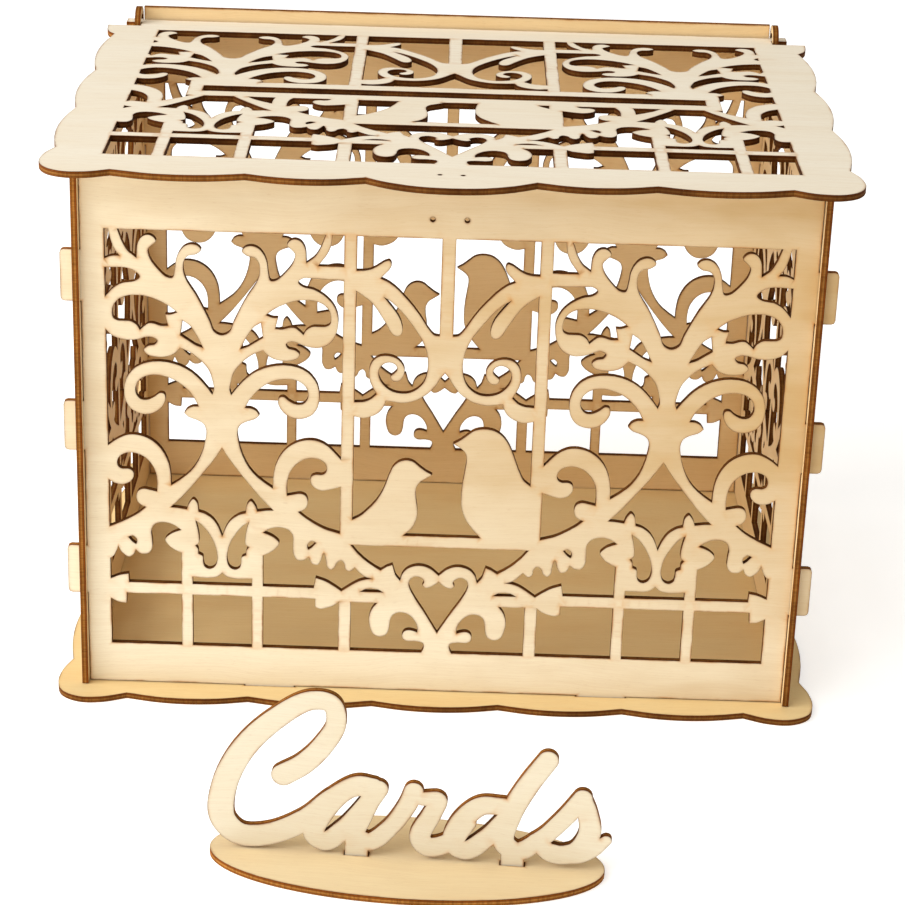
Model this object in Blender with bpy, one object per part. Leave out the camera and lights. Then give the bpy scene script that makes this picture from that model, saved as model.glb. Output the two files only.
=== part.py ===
# Laser-cut plywood card box: a scalloped base, four fretwork walls that slot together,
# a hinged fretwork lid with a letter slot, and a loose script sign standing on an oval foot.
# Frame: X right, Y back, Z up, origin at the centre of the base's underside. Sizes in millimetres
# are turned into metres by MM when the meshes are made.
import math

import bmesh
import bpy
import numpy as np
from mathutils import Vector
from mathutils.geometry import delaunay_2d_cdt

MM = 0.001
T = 2.5                      # plywood thickness
GAP = 0.3                    # clearance left between neighbouring sheets
CHORD = 0.8                  # how far a facet may stray from a curve

# box body
SIDE_X = 140.4               # outer face of each side wall
WALL_Y = 105.8               # outer face of the front and back walls
SIDE_END = 109.3             # the side walls run past the front and back walls
WALL_FOOT = T + GAP          # lower edge of the walls
WALL_TOP = 217.5             # top edge of the walls
RAIL_TOP = 225.8             # the back wall goes on up between the hinge ears
RAIL_X = 137.2               # half length of that upper rail
WIN_X = 128.6                # half width of the front, back and lid windows
WIN_Z = 19.7                 # sill of the wall windows
WIN_H = 172.0                # height of the wall windows
SIDE_WIN_Y = 94.4            # half width of the side windows
TAB_LEN = 20.5               # side tabs of the front and back walls
TAB_OUT = 5.0                # how far those tabs stand out of the side walls
TAB_ROUND = 1.6              # radius of their outer corners
TAB_Z = (51.5, 112.2, 173.0)
FOOT_X = 66.0                # bottom tabs of the front and back walls
FOOT_Y = 50.0                # bottom tabs of the side walls
FOOT_LEN = 19.5
FOOT_END = 0.2               # the bottom tabs end just short of the base's underside
HASP_X = 6.4                 # pair of screw holes for a catch, above the front window
HASP_UP = 7.4
HASP_R = 0.95

# hinge: round ears on the side walls hold the lid's pivot tabs
LID_Z = WALL_TOP + GAP       # underside of the closed lid
HINGE_Y = 100.6
HINGE_Z = LID_Z + T / 2
EAR_R = 7.4
EAR_HOLE_R = 4.0
PIVOT_HALF = 3.3             # half width of the pivot tabs
PIVOT_END = 144.4

# lid
LID_REAR_Y = 102.4           # rear edge between the ears
LID_NOTCH_Y = 91.2           # rear edge outside the ears
LID_REAR_X = 151.6
LID_WIN_Y = -105.0           # front edge of the lid window
LID_SCALE = 1.10             # the lid carries the wall pattern a little larger
SLOT_Y = -9.0
SLOT_HALF = (100.6, 4.0)     # card slot, half length and half width
BAND_HALF = (106.6, 11.2)    # plain band around the slot
LID_PIN_X = 4.2              # pair of pin holes near the front edge
LID_PIN_Y = -118.8
LID_PIN_R = 0.8

# sign
SIGN_X, SIGN_Y = -8.2, -231.6
SIGN_TURN = -3.4             # degrees
OVAL_HALF = (70.4, 27.7)
WORD_X = 8.2                 # the word's own zero, from the middle of the foot
SIGN_TAB_X = (-26.0, 29.4)   # tabs under the a and the d
SIGN_TAB_LEN = 8.3


def K(x, z):
    """A sharp corner of an outline; plain pairs are passed through smoothly."""
    return (x, z, 1)


# ------------------------------------------------------------------ curves and outlines
def thin(points, tol):
    """Leave out the points that lie within tol of the chord between their neighbours."""
    if len(points) < 3:
        return points
    a, b = np.array(points[0]), np.array(points[-1])
    p = np.array(points[1:-1])
    d = b - a
    length = math.hypot(*d)
    if length < 1e-9:
        off = np.hypot(*(p - a).T)
    else:
        t = np.clip((p - a) @ d / length ** 2, 0, 1)
        off = np.hypot(*(p - a - t[:, None] * d).T)
    k = int(off.argmax())
    if off[k] <= tol:
        return [points[0], points[-1]]
    return thin(points[:k + 2], tol)[:-1] + thin(points[k + 1:], tol)


def smooth(run, tol):
    """Centripetal Catmull-Rom curve through the points of an open run."""
    if len(run) < 3:
        return list(run)
    p = [np.array(q, float) for q in run]
    p = [2 * p[0] - p[1]] + p + [2 * p[-1] - p[-2]]
    out = []
    for i in range(1, len(p) - 2):
        a, b, c, d = p[i - 1:i + 3]
        t0 = 0.0
        t1 = t0 + math.hypot(*(b - a)) ** 0.5
        t2 = t1 + math.hypot(*(c - b)) ** 0.5
        t3 = t2 + math.hypot(*(d - c)) ** 0.5
        for k in range(12):
            t = t1 + (t2 - t1) * k / 12
            a1 = (t1 - t) / (t1 - t0) * a + (t - t0) / (t1 - t0) * b
            a2 = (t2 - t) / (t2 - t1) * b + (t - t1) / (t2 - t1) * c
            a3 = (t3 - t) / (t3 - t2) * c + (t - t2) / (t3 - t2) * d
            b1 = (t2 - t) / (t2 - t0) * a1 + (t - t0) / (t2 - t0) * a2
            b2 = (t3 - t) / (t3 - t1) * a2 + (t - t1) / (t3 - t1) * a3
            out.append(tuple((t2 - t) / (t2 - t1) * b1 + (t - t1) / (t2 - t1) * b2))
    out.append(tuple(p[-2]))
    return thin(out, tol)


def outline(points):
    """Closed polygon through the points: sharp at the corners K, smooth between them."""
    if all(len(q) == 2 for q in points):
        return points
    corners = [i for i, q in enumerate(points) if len(q) > 2]
    points = points[corners[0]:] + points[:corners[0]]
    points = points + points[:1]
    result, run = [], [points[0][:2]]
    for q in points[1:]:
        run.append(q[:2])
        if len(q) > 2:
            result += smooth(run, CHORD)[:-1]
            run = [q[:2]]
    return result


def mirror(points, x=0.0):
    return [(2 * x - q[0],) + tuple(q[1:]) for q in reversed(points)]


def mirrored(half):
    """Outline that is the same on both sides of x = 0; half runs from axis to axis or edge."""
    other = mirror(half)
    return half + [q for q in other if abs(q[0]) > 1e-9]


def moved(points, dx, dz=0.0, scale=1.0):
    return [(q[0] * scale + dx, q[1] * scale + dz) + tuple(q[2:]) for q in points]


def spread(points, wide, dx):
    """Stretch sideways only."""
    return [(q[0] * wide + dx,) + tuple(q[1:]) for q in points]


def rect(x0, x1, z0, z1):
    return [K(x0, z0), K(x1, z0), K(x1, z1), K(x0, z1)]


def circle(x, z, r, tol=CHORD / 3):
    n = max(8, math.ceil(math.pi / math.acos(1 - min(tol, r / 4) / r)))
    return [(x + r * math.cos(2 * math.pi * k / n), z + r * math.sin(2 * math.pi * k / n))
            for k in range(n)]


# ------------------------------------------------------------------ fretwork pattern
# One tree, drawn to one side of its own axis: first number outwards, second up from the sill.
# Everything below is an opening in the sheet.
TREE_X = 84.8                # axis of each tree from the middle of the front window
FRAME_U = WIN_X - TREE_X     # the tree's outer scrolls grow out of the window frame ...
POST_U = 45.8                # ... and the inner ones out of a full-height post

CROWN = [(0, 131.2), (2.9, 132.6), (4.4, 136.5), (7, 142), (9.7, 147.2), (13.2, 152.8),
         (14.3, 156.5), (14.1, 160), (12.6, 162.2), (9.6, 162.9), (7.6, 164.7), (8.8, 166.4),
         (11.3, 167), (13.9, 166), (15.8, 163.8), (17, 160.8), (17.5, 157), (18.4, 153.6),
         (20.6, 153.8), (24.5, 157.5), (26.9, 161.2), (27.4, 164.3), (26, 166), (24.4, 167.6),
         (25.4, 169.3), (27.3, 170.1), (29.6, 169.3), (31.3, 166.6), K(31.8, 161),
         (34.8, 163.4), (37, 167), K(38.8, 172)]
FORK = [K(0, 84.8), (3.4, 79.6), (6.6, 75.2), (9.8, 71), (13.5, 66.4), (17, 62.4), K(19.9, 59.5),
        (17.3, 59.4), K(13.7, 58.9), (13, 61), (11.2, 63.2), (9.7, 61.8), K(9.1, 58),
        (6.6, 57.2), (3.6, 55), (1.5, 51.8), K(0, 47.8)]
SCROLL_EYE = [K(16.8, 139.8), (19.2, 138.9), K(21.3, 138.9), K(20.3, 134.4), (22.9, 134.3),
              (25.5, 135.1), (27.6, 135.1), (29.2, 134), K(30.9, 132.4), (32, 134.3),
              (34.2, 135.7), (37, 135.9), (39.4, 136), (40.9, 137), (41.2, 139.3),
              (40.6, 142), (38.4, 144.6), (35.2, 145.9), (31.4, 146.2), (27, 145.5),
              (22.2, 143.6), (19, 141.6)]
LEAF_SLOT = [K(14.8, 136.6), (12.2, 134.8), (9.6, 131), K(7.1, 125.9), (10, 127),
             (13.5, 129.3), K(15.6, 130.7)]
# underside of the big scroll, its curled tail, the trunk, the middle scroll and the lowest one
LIMBS = [(26.4, 129.5), (24.4, 128.3), (25.3, 126.7), (28, 126), (29.6, 124.3), (28.2, 122.4),
         (25, 121.6), (21.2, 121.8), (18.2, 123), K(15.7, 125.5), (11.7, 123.7), (7.9, 120.6),
         (4.9, 116.8), (3.5, 112.5), (3.0, 109.2), K(3.6, 107.1), (5.7, 110), (8.7, 113.5),
         (12.6, 116.7), (17.6, 119), (23, 119.9), (28.5, 119.3), (33, 117), (36.2, 112.8),
         (37.3, 107.8), (36.6, 103), (34.3, 99.7), (30.5, 98.1), (26.4, 98.5), (23.2, 100.9),
         (21.5, 104.2), (21.9, 106.6), (23.6, 107), (25.7, 105.4), (28.4, 104.1), (31, 104.3),
         (32.6, 106.2), (32.9, 108.8), (31.7, 111.6), (29, 113.6), (25.2, 114.3), (21, 113.6),
         (17, 111.8), (13.4, 108.9), (10.6, 105.3), K(8.9, 102), (11, 101.9), (13.2, 100.8),
         K(14.4, 99), (12.6, 97.4), (9.6, 96.3), (7, 94.7), (6, 92), (6.4, 88), (7.6, 83.2),
         (9.6, 78.6), (12.6, 74.4), (16.2, 71.3), K(19.6, 68.9), (19.8, 73.5), (20.7, 78.6),
         (23.1, 83.6), (26.8, 87.3), (31.5, 89.3), (36.2, 89.4), (40.6, 87.3)]
CURL = [(41.6, 69), (38.4, 68.5), (35.6, 69.7), (34.1, 72), (34.4, 74.2), (36, 75.2),
        (38.5, 75.2), (40, 76.1), (40.4, 78.2), (39.5, 80.2), (37.3, 81.6), (34.2, 81.9),
        (30.9, 80.9), (27.9, 78.4), (25.8, 74.6), (25.1, 70), K(25.2, 66), (27.6, 66.5),
        (30.4, 67), (32.5, 66), (33.3, 63.8), (32.7, 61.2), (31.2, 59.8), K(29.6, 59.2),
        (32.2, 56.9), (36, 54.4), (40.3, 52.2)]
TEAR = [K(10.3, 54), (8.2, 52.6), (5.6, 49.4), (3.4, 45.4), (2.1, 41), (1.9, 37.6),
        (2.9, 34.7), (5, 33.6), (6.8, 34.5), (7.4, 36.6), (7.6, 39), K(9.3, 40),
        (9.4, 42), K(10.4, 43.4), (9.1, 44.6), (9, 47.4), (9.5, 50.6)]
SMILE = [K(0, 31.9), (2, 30.3), (5, 29.6), (8.3, 29.6), K(11.6, 29.8), K(11.6, 26.8)]
COMMA = [K(36.6, 46.2), (34.9, 46.8), (33.4, 45.4), (33.6, 43.4), (34.9, 44.2)]
LEAF = [K(16, 49.9), (18, 49.2), (20.5, 47.8), (22.3, 45.6), (20.6, 42.9), (18.2, 41.1),
        K(16, 40)]
DRIPS_OUT = [(42.4, 38), (41.4, 40), K(40.6, 42.2), (39.3, 39.6), (36.6, 37.7), (34.6, 38.8),
             K(33.8, 40.7), (31.8, 39.2), (28.8, 39.5), (27.3, 42), (27.3, 45.5), (27.6, 49),
             (26.5, 51.7), (24.2, 52.8), (21.2, 52.8), (18.4, 51.7)]
DRIPS_IN = [(55.8, 32.3), (53.2, 34.6), K(51.9, 36), (49.8, 34.4), (48.2, 35.4), (47.8, 37.6),
            (46.6, 38.9), (45, 38), (44, 35.8), (42.4, 34.9), (41, 36.2), (40.6, 38.8),
            (39.7, 41.8), (38.7, 39), (37.4, 36.8), (35.2, 37.2), K(33.8, 39.8), (31.9, 38.6),
            (29.4, 38.6), (27.8, 41.2), (27.6, 45), (27.6, 48.8), (26.2, 51), (24, 52.1),
            (21.2, 52.3), (18.4, 51.5)]


def tree_side(kind, edge):
    """Openings on one side of a tree that ends at a frame or at a post, `edge` from the axis."""
    holes = [SCROLL_EYE, LEAF_SLOT, TEAR, COMMA,
             [K(edge, 70.3)] + CURL + [K(edge, 50.6)]]
    if kind == 'frame':
        holes += [
            [K(edge, 172), K(42.3, 172), (41.2, 167.2), (39.8, 163.6), K(38.2, 161.6),
             (41.2, 161.5), K(edge, 160.4)],
            [K(edge, 156.8), (35.2, 156.8), (32, 155.3), (30.7, 153.4), (32.6, 151.8),
             (37.5, 150.8), (41, 148.6), K(edge, 145.3)],
            [K(edge, 132.1), (41.8, 129.9), (38.9, 128.6), (35.5, 128.1), (31.6, 128.5),
             (28.9, 129.4)] + LIMBS + [K(edge, 84.8)],
            [K(16, 0), K(edge, 0), K(edge, 19.4), (40.8, 17.9), K(37.8, 17.6), K(37.5, 22),
             K(16, 22)],
            LEAF + [K(16, 26.8), K(36.6, 26.8), K(36.8, 30.4), (40, 29.8), K(edge, 28.2),
                    K(edge, 36.9)] + DRIPS_OUT]
    else:
        holes += [
            [K(edge, 172), K(41.4, 172), (40.9, 168), (39.7, 164.9), (37.8, 162.1),
             K(36.2, 159.9), K(edge, 159.9)],
            [K(edge, 154.7), (36, 154.8), (30.5, 154.8), (28.8, 153.2), (30.6, 151.5),
             (34.5, 150.6), (39, 148), (42, 144.8), (43.7, 141), (44, 137), (43, 132.4),
             (40.6, 128.9), (36.5, 127.2), (31.6, 127.8), (28.6, 129)] + LIMBS
            + [K(edge, 81.8)],
            [K(16, 0), K(edge, 0), K(edge, 20.9), (44, 19.4), (41, 18.2), (38.5, 17.7),
             K(36.6, 18.5), K(36.5, 22), K(16, 22)],
            LEAF + [K(16, 26.8), K(35.9, 26.8), K(36.6, 31.2), (40.9, 29.7), (44, 27.8),
                    K(46.8, 25.8), (50.3, 28.4), (53.4, 30.3), (56.4, 31.3), K(58.8, 31.5)]
            + DRIPS_IN]
    return holes


def tree(x, left, right):
    """All the openings of one tree about x; left and right are (kind, distance to edge)."""
    holes = [moved(mirrored(CROWN), x), moved(mirrored(FORK), x), moved(mirrored(SMILE), x),
             moved(rect(-11.6, 11.6, 0, 22), x)]
    holes += [moved(h, x) for h in tree_side(*right)]
    holes += [moved(mirror(h), x) for h in tree_side(*left)]
    return holes


# middle of the front: a hanging double scroll, two birds on a perch, a heart below them
POST_X = TREE_X - POST_U - 4.8                   # inner edge of the posts
MID_TOP = [K(-POST_X, 172), K(-2.6, 172), K(-2.6, 133.6), (-4.6, 134), (-7, 136.7),
           (-9.5, 140.7), (-12.6, 145), (-15.8, 148.7), (-18.9, 151.9), (-22, 154.3),
           K(-25.2, 155.8), (-23.4, 157.8), (-21.8, 159.6), (-21.2, 161.4), (-22, 162.9),
           (-23.8, 162.5), (-26.2, 160.8), (-28.9, 159.3), (-31.5, 158.7), K(-POST_X, 158.6)]
MID_ARM = [K(-POST_X, 150.4), (-31.4, 148.6), (-28.9, 146.5), (-26.6, 143.8), (-24.4, 140.4),
           (-22.3, 137), (-21, 134.6), (-19.6, 133.2), (-17.9, 133.1), (-16.7, 134.4),
           (-16.6, 136.8), (-17.9, 140.6), (-20.4, 144.3), K(-23.8, 148.4), (-21.4, 146.9),
           (-18.6, 144.4), (-15.5, 141), (-12.6, 137.2), (-10.1, 133.4), (-8.2, 129.6),
           (-7, 125.8), (-6.6, 122), (-6.9, 118.2), (-8.1, 114.6), (-10.3, 112),
           (-13.4, 110.3), (-17, 110), (-20.6, 111), (-23.4, 113.4), (-25, 116.4),
           (-24.9, 119.6), (-23.2, 121.7), (-20.8, 122.3), (-18.8, 121.3), (-18.2, 119.5),
           (-19.3, 118), (-20.8, 116.6), (-19.9, 114.9), (-17.6, 114.8), (-15.8, 116.8),
           (-15.4, 119.7), (-16.5, 122.2), (-18.9, 124.3), (-22, 125.1), (-25, 124.7),
           (-27.3, 123), (-28.6, 120.4), (-28.9, 117.2), (-28.3, 114), (-27.2, 111.6),
           K(-25.9, 109.3), (-28.2, 107.1), (-31, 106), K(-POST_X, 105.8)]
MID_UNDER = [K(-POST_X, 99.9), (-31, 99.3), (-27.8, 100), (-25, 101.6), (-23.2, 103.8),
             K(-22.2, 106.6), (-18.6, 106.2), (-15, 106.1), (-11.6, 106.9), (-8.5, 108.5),
             (-5.6, 110.8), (-3.4, 113.6), (-1.7, 116.4)]
SMALL_BIRD = [K(-3.7, 76.6), (-6.2, 78), (-8.6, 79.8), (-11.2, 81.9), (-14, 82.5),
              (-16.6, 81.7), (-18.8, 79.6), (-20.3, 76.2), (-21.5, 72.4), (-23, 68.6),
              (-25.4, 64.6), (-28.3, 61.2), (-31.2, 58.4), K(-POST_X, 56.7)]
SMALL_BREAST = [K(-14.3, 50.6), (-11.8, 52.8), (-10, 55.7), (-9.1, 59.2), (-9.2, 63),
                (-9.8, 67), (-9.8, 70.6), (-8.6, 73.2), (-6.6, 74.7)]
BIG_BREAST = [K(15.6, 50.6), (12.6, 54), (9.6, 58.4), (8, 63), (7.7, 68), (8, 73.2),
              (8.7, 78.4), (9.3, 82.6), (9, 85.6), (7.4, 87.6)]
BIG_BIRD = [K(4, 89.9), (6.6, 91.4), (9, 93.4), (12, 95.6), (15.6, 96.4), (19.4, 95.8),
            (22.6, 93.8), (25.2, 90.4), (27.4, 85.4), (29.4, 79.8), (31.6, 75.4),
            K(POST_X, 73.2)]
BIRD_SKY = (MID_UNDER + [K(0, 118.6)] + mirror(MID_UNDER) + list(reversed(BIG_BIRD))
            + list(reversed(BIG_BREAST)) + SMALL_BREAST + SMALL_BIRD)
BELOW_PERCH = [K(0, 33.9), (-3, 36.5), (-6.2, 37.8), (-9.5, 37.7), (-12.6, 36.2),
               (-14.4, 33.8), K(-15.1, 31.2), (-16.9, 33.5), (-17.6, 35.8), K(-18.2, 37.9),
               (-20.4, 37), K(-22.8, 35.4), (-25.7, 37.1), (-28.9, 39.5), (-32, 42.5),
               K(-34.6, 45.8)]
HEART = [K(0, 31), (-1.6, 29.7), (-3.4, 28.6), (-5.2, 28.4), K(-6.3, 29.4), (-5.7, 31),
         (-6.9, 32.5), (-9, 33.1), (-10.9, 32), (-11.6, 29.8), (-11, 27.4), (-9, 23.6),
         (-6.2, 19.3), (-3.4, 14.6), K(0, 8.8)]
SLIT = [K(-30.6, 25.8), (-28.4, 26.9), (-26, 27.3), (-23.6, 26.9), K(-21.6, 25.8)]
MID_WINDOW = [K(-POST_X, 0), K(-6, 0), (-5.1, 2), (-5.4, 4), (-8.2, 4.8), (-11.6, 4.7),
              (-13.3, 5.6), (-13.8, 7.3), (-13, 9), (-11.4, 9.7), (-9.5, 9.5), K(-7.8, 8.9),
              (-7.8, 11.2), (-8.9, 13.8), (-10.8, 16), (-13.3, 17.2), (-15.9, 17.1),
              (-17.8, 15.8), (-18.6, 13.6), (-18.9, 10.4), (-20, 7.4), (-22.6, 6.3),
              (-25.2, 7.5), (-26.7, 11), (-27, 14.6), (-26, 18.2), K(-24, 21),
              K(-POST_X, 21)]


def front_pattern():
    holes = tree(-TREE_X, ('frame', FRAME_U), ('post', POST_U))
    holes += [mirror(h) for h in tree(-TREE_X, ('frame', FRAME_U), ('post', POST_U))]
    for h in (MID_TOP, MID_ARM, SLIT, MID_WINDOW):
        holes += [h, mirror(h)]
    return holes + [BIRD_SKY, mirrored(BELOW_PERCH), mirrored(HEART)]


def side_pattern():
    """Two trees with a post between them, spread to the width of the side window."""
    half_post = 2.35
    wide = (SIDE_WIN_Y - half_post) / (2 * FRAME_U)
    holes = tree(FRAME_U, ('frame', FRAME_U), ('frame', FRAME_U))
    holes = [spread(h, wide, half_post) for h in holes]
    return holes + [mirror(h) for h in holes]


# ------------------------------------------------------------------ flat shapes
def inside(loop, p):
    x, y = p[:, 0], p[:, 1]
    hit = np.zeros(len(p), bool)
    a = np.array(loop)
    b = np.roll(a, -1, axis=0)
    for (x0, y0), (x1, y1) in zip(a, b):
        if y0 != y1:
            hit ^= ((y0 > y) != (y1 > y)) & (x < (x1 - x0) * (y - y0) / (y1 - y0) + x0)
    return hit


def any_inside(loops, p):
    hit = np.zeros(len(p), bool)
    for loop in loops:
        hit |= inside(loop, p)
    return hit


def even_odd(loops):
    """Test for points inside an odd number of the loops: sheet yes, openings no."""
    def solid(p):
        hit = np.zeros(len(p), bool)
        for loop in loops:
            hit ^= inside(loop, p)
        return hit
    return solid


def triangulate(loops, solid):
    """Triangles of the flat region that `solid` keeps, cut along all the given outlines."""
    verts, edges = [], []
    for loop in loops:
        n = len(verts)
        verts += [Vector(q[:2]) for q in loop]
        edges += [(n + i, n + (i + 1) % len(loop)) for i in range(len(loop))]
    v, _, faces = delaunay_2d_cdt(verts, edges, [], 0, 1e-4)[:3]
    v = np.array([tuple(q) for q in v])
    faces = np.array([f for f in faces if len(f) == 3])
    faces = faces[solid(v[faces].mean(axis=1))]
    return v, faces


def borders(v, faces):
    """Closed border loops of a set of flat triangles."""
    edges = set()
    for a, b, c in faces.tolist():
        edges |= {(a, b), (b, c), (c, a)}
    follow = {a: b for a, b in edges if (b, a) not in edges}
    loops = []
    while follow:
        start, here = follow.popitem()
        loop = [start]
        while here != start:
            loop.append(here)
            here = follow.pop(here)
        loops.append([tuple(v[i]) for i in loop])
    return loops


def in_line(a, b, c, tol=0.02):
    """True where b lies on the straight way from a to c."""
    dx, dy = c[0] - a[0], c[1] - a[1]
    length = math.hypot(dx, dy)
    return length < 1e-6 or abs(dx * (b[1] - a[1]) - dy * (b[0] - a[0])) < tol * length


def straighten(loop):
    """Drop points that are in line with their neighbours, one at a time."""
    i = 0
    while i < len(loop):
        if in_line(loop[i - 1], loop[i], loop[(i + 1) % len(loop)]):
            del loop[i]
            i = max(i - 1, 0)
        else:
            i += 1
    return loop


def region(loops, solid):
    """Clean border loops of the region that `solid` keeps."""
    return [straighten(loop) for loop in borders(*triangulate(loops, solid))]


# ------------------------------------------------------------------ outlines of the sheets
def lobes(cusps, bulge):
    """A scalloped edge: a shallow lobe between each two cusps, swelling to the right of travel."""
    points = []
    for (x0, y0), (x1, y1) in zip(cusps, cusps[1:]):
        dx, dy = x1 - x0, y1 - y0
        n = bulge / math.hypot(dx, dy)
        points.append(K(x0, y0))
        for t in (0.25, 0.5, 0.75):
            swell = 4 * t * (1 - t) * n
            points.append((x0 + dx * t + dy * swell, y0 + dy * t - dx * swell))
    return points


def base_outline():
    """Five lobes along the front, three along each side, rounded corners; back like front."""
    front = lobes([(x, -115.5) for x in (-122, -74, -25, 25, 74, 122)], 3.6)
    corner = [K(122, -115.5), (131, -119.4), (140, -120), (147.5, -115.5), (150.3, -107),
              (149.8, -97)]
    side = lobes([(147, y) for y in (-87.5, -29, 29, 87.5)], 3.2)
    back_corner = [K(147, 87.5)] + [(x, -y) for x, y in reversed(corner[1:])]
    half = corner + side + back_corner
    back = [K(-q[0], -q[1]) if len(q) > 2 else (-q[0], -q[1]) for q in front]
    return front + half + back + [K(-q[0], -q[1]) if len(q) > 2 else (-q[0], -q[1])
                                  for q in half]


def lid_outline():
    """A deep middle lobe in front, shallow lobes round the rim, ear notches and pivot tabs."""
    middle = [K(-31, -125), (-22, -130.6), (-11.5, -134.2), (0, -135.3), (11.5, -134.2),
              (22, -130.6)]
    front = lobes([(31, -125), (74.5, -125), (123.5, -124.4)], 4.3)
    corner = [K(123.5, -124.4), (131, -128), (139.5, -128.7), (146.5, -125), (150.2, -117.5),
              (150, -107)]
    side = lobes([(147, y) for y in (-98, -43, 14.5, 75.3)], 3.2)
    between_ears = SIDE_X - T - GAP
    rear = [K(147, 75.3), (149.6, 79), (151.1, 84.5), K(LID_REAR_X, LID_NOTCH_Y),
            K(between_ears, LID_NOTCH_Y), K(between_ears, HINGE_Y - PIVOT_HALF),
            K(PIVOT_END, HINGE_Y - PIVOT_HALF), K(PIVOT_END, HINGE_Y + PIVOT_HALF),
            K(between_ears, HINGE_Y + PIVOT_HALF), K(between_ears, LID_REAR_Y)]
    right = front + corner + side + rear
    return middle + right + mirror(right[1:])


def wall_tab(side, z):
    """Side tab of the front or back wall at height z, its outer corners rounded."""
    x0, x1, h = SIDE_X - 2 * T, SIDE_X + TAB_OUT, TAB_LEN / 2
    mid = TAB_ROUND * (1 - math.sqrt(0.5))
    upper = [K(x1, h - TAB_ROUND), (x1 - mid, h - mid), K(x1 - TAB_ROUND, h), K(x0, h)]
    lower = [(q[0], -q[1]) + tuple(q[2:]) for q in reversed(upper)]
    return [(side * q[0], z + q[1]) + tuple(q[2:]) for q in upper + lower]


def foot_tab(x):
    """Bottom tab of a wall, reaching through the base."""
    return rect(x - FOOT_LEN / 2, x + FOOT_LEN / 2, FOOT_END, WALL_FOOT + T)


def slot(x, y, half_x, half_y):
    """Slot for a tab, with clearance all round."""
    return rect(x - half_x - GAP, x + half_x + GAP, y - half_y - GAP, y + half_y + GAP)


def cut(body, cuts):
    """Border loops of the united body outlines, less the openings."""
    return region(body + cuts, lambda p: any_inside(body, p) & ~any_inside(cuts, p))


def wall_sheet(back):
    """Front or back wall with window pattern, tabs and, at the back, the rail."""
    half = SIDE_X - T - GAP
    body = [rect(-half, half, WALL_FOOT, WALL_TOP)]
    body += [wall_tab(side, z) for side in (-1, 1) for z in TAB_Z]
    body += [foot_tab(x) for x in (-FOOT_X, FOOT_X)]
    cuts = [moved(h, 0, WIN_Z) for h in front_pattern()]
    if back:
        body.append(rect(-RAIL_X, RAIL_X, WALL_TOP - T, RAIL_TOP))
    else:
        cuts += [circle(x, WIN_Z + WIN_H + HASP_UP, HASP_R) for x in (-HASP_X, HASP_X)]
    return cut([outline(b) for b in body], [outline(c) for c in cuts])


def side_sheet():
    """Side wall with its two trees, tab slots, and the ear that holds the lid's pivot."""
    body = [rect(-SIDE_END, SIDE_END, WALL_FOOT, WALL_TOP), foot_tab(-FOOT_Y), foot_tab(FOOT_Y)]
    body = [outline(b) for b in body] + [circle(HINGE_Y, HINGE_Z, EAR_R)]
    cuts = [outline(moved(h, 0, WIN_Z)) for h in side_pattern()]
    cuts.append(circle(HINGE_Y, HINGE_Z, EAR_HOLE_R))
    tab_y = WALL_Y - T / 2
    cuts += [outline(slot(y, z, T / 2, TAB_LEN / 2)) for y in (-tab_y, tab_y) for z in TAB_Z]
    return cut(body, cuts)


def base_sheet():
    """Floor with a slot for every bottom tab."""
    y, x = WALL_Y - T / 2, SIDE_X - T / 2
    cuts = []
    for sx in (-1, 1):
        for sy in (-1, 1):
            cuts.append(outline(slot(sx * FOOT_X, sy * y, FOOT_LEN / 2, T / 2)))
            cuts.append(outline(slot(sx * x, sy * FOOT_Y, T / 2, FOOT_LEN / 2)))
    return cut([outline(base_outline())], cuts)


def lid_sheet():
    """Lid with the enlarged pattern cropped by its window, and the card slot in its plain band."""
    body = outline(lid_outline())
    window = outline(rect(-WIN_X, WIN_X, LID_WIN_Y, LID_WIN_Y + WIN_H * LID_SCALE))
    band = outline(rect(-BAND_HALF[0], BAND_HALF[0], SLOT_Y - BAND_HALF[1],
                        SLOT_Y + BAND_HALF[1]))
    holes = [outline(moved(h, 0, LID_WIN_Y, LID_SCALE)) for h in front_pattern()]
    plain = [outline(rect(-SLOT_HALF[0], SLOT_HALF[0], SLOT_Y - SLOT_HALF[1],
                          SLOT_Y + SLOT_HALF[1]))]
    plain += [circle(x, LID_PIN_Y, LID_PIN_R) for x in (-LID_PIN_X, LID_PIN_X)]

    def solid(p):
        open_work = inside(window, p) & any_inside(holes, p) & ~inside(band, p)
        return inside(body, p) & ~open_work & ~any_inside(plain, p)
    loops = region([body, window, band] + holes + plain, solid)
    return [[(x, y - HINGE_Y) for x, y in loop] for loop in loops]


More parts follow.
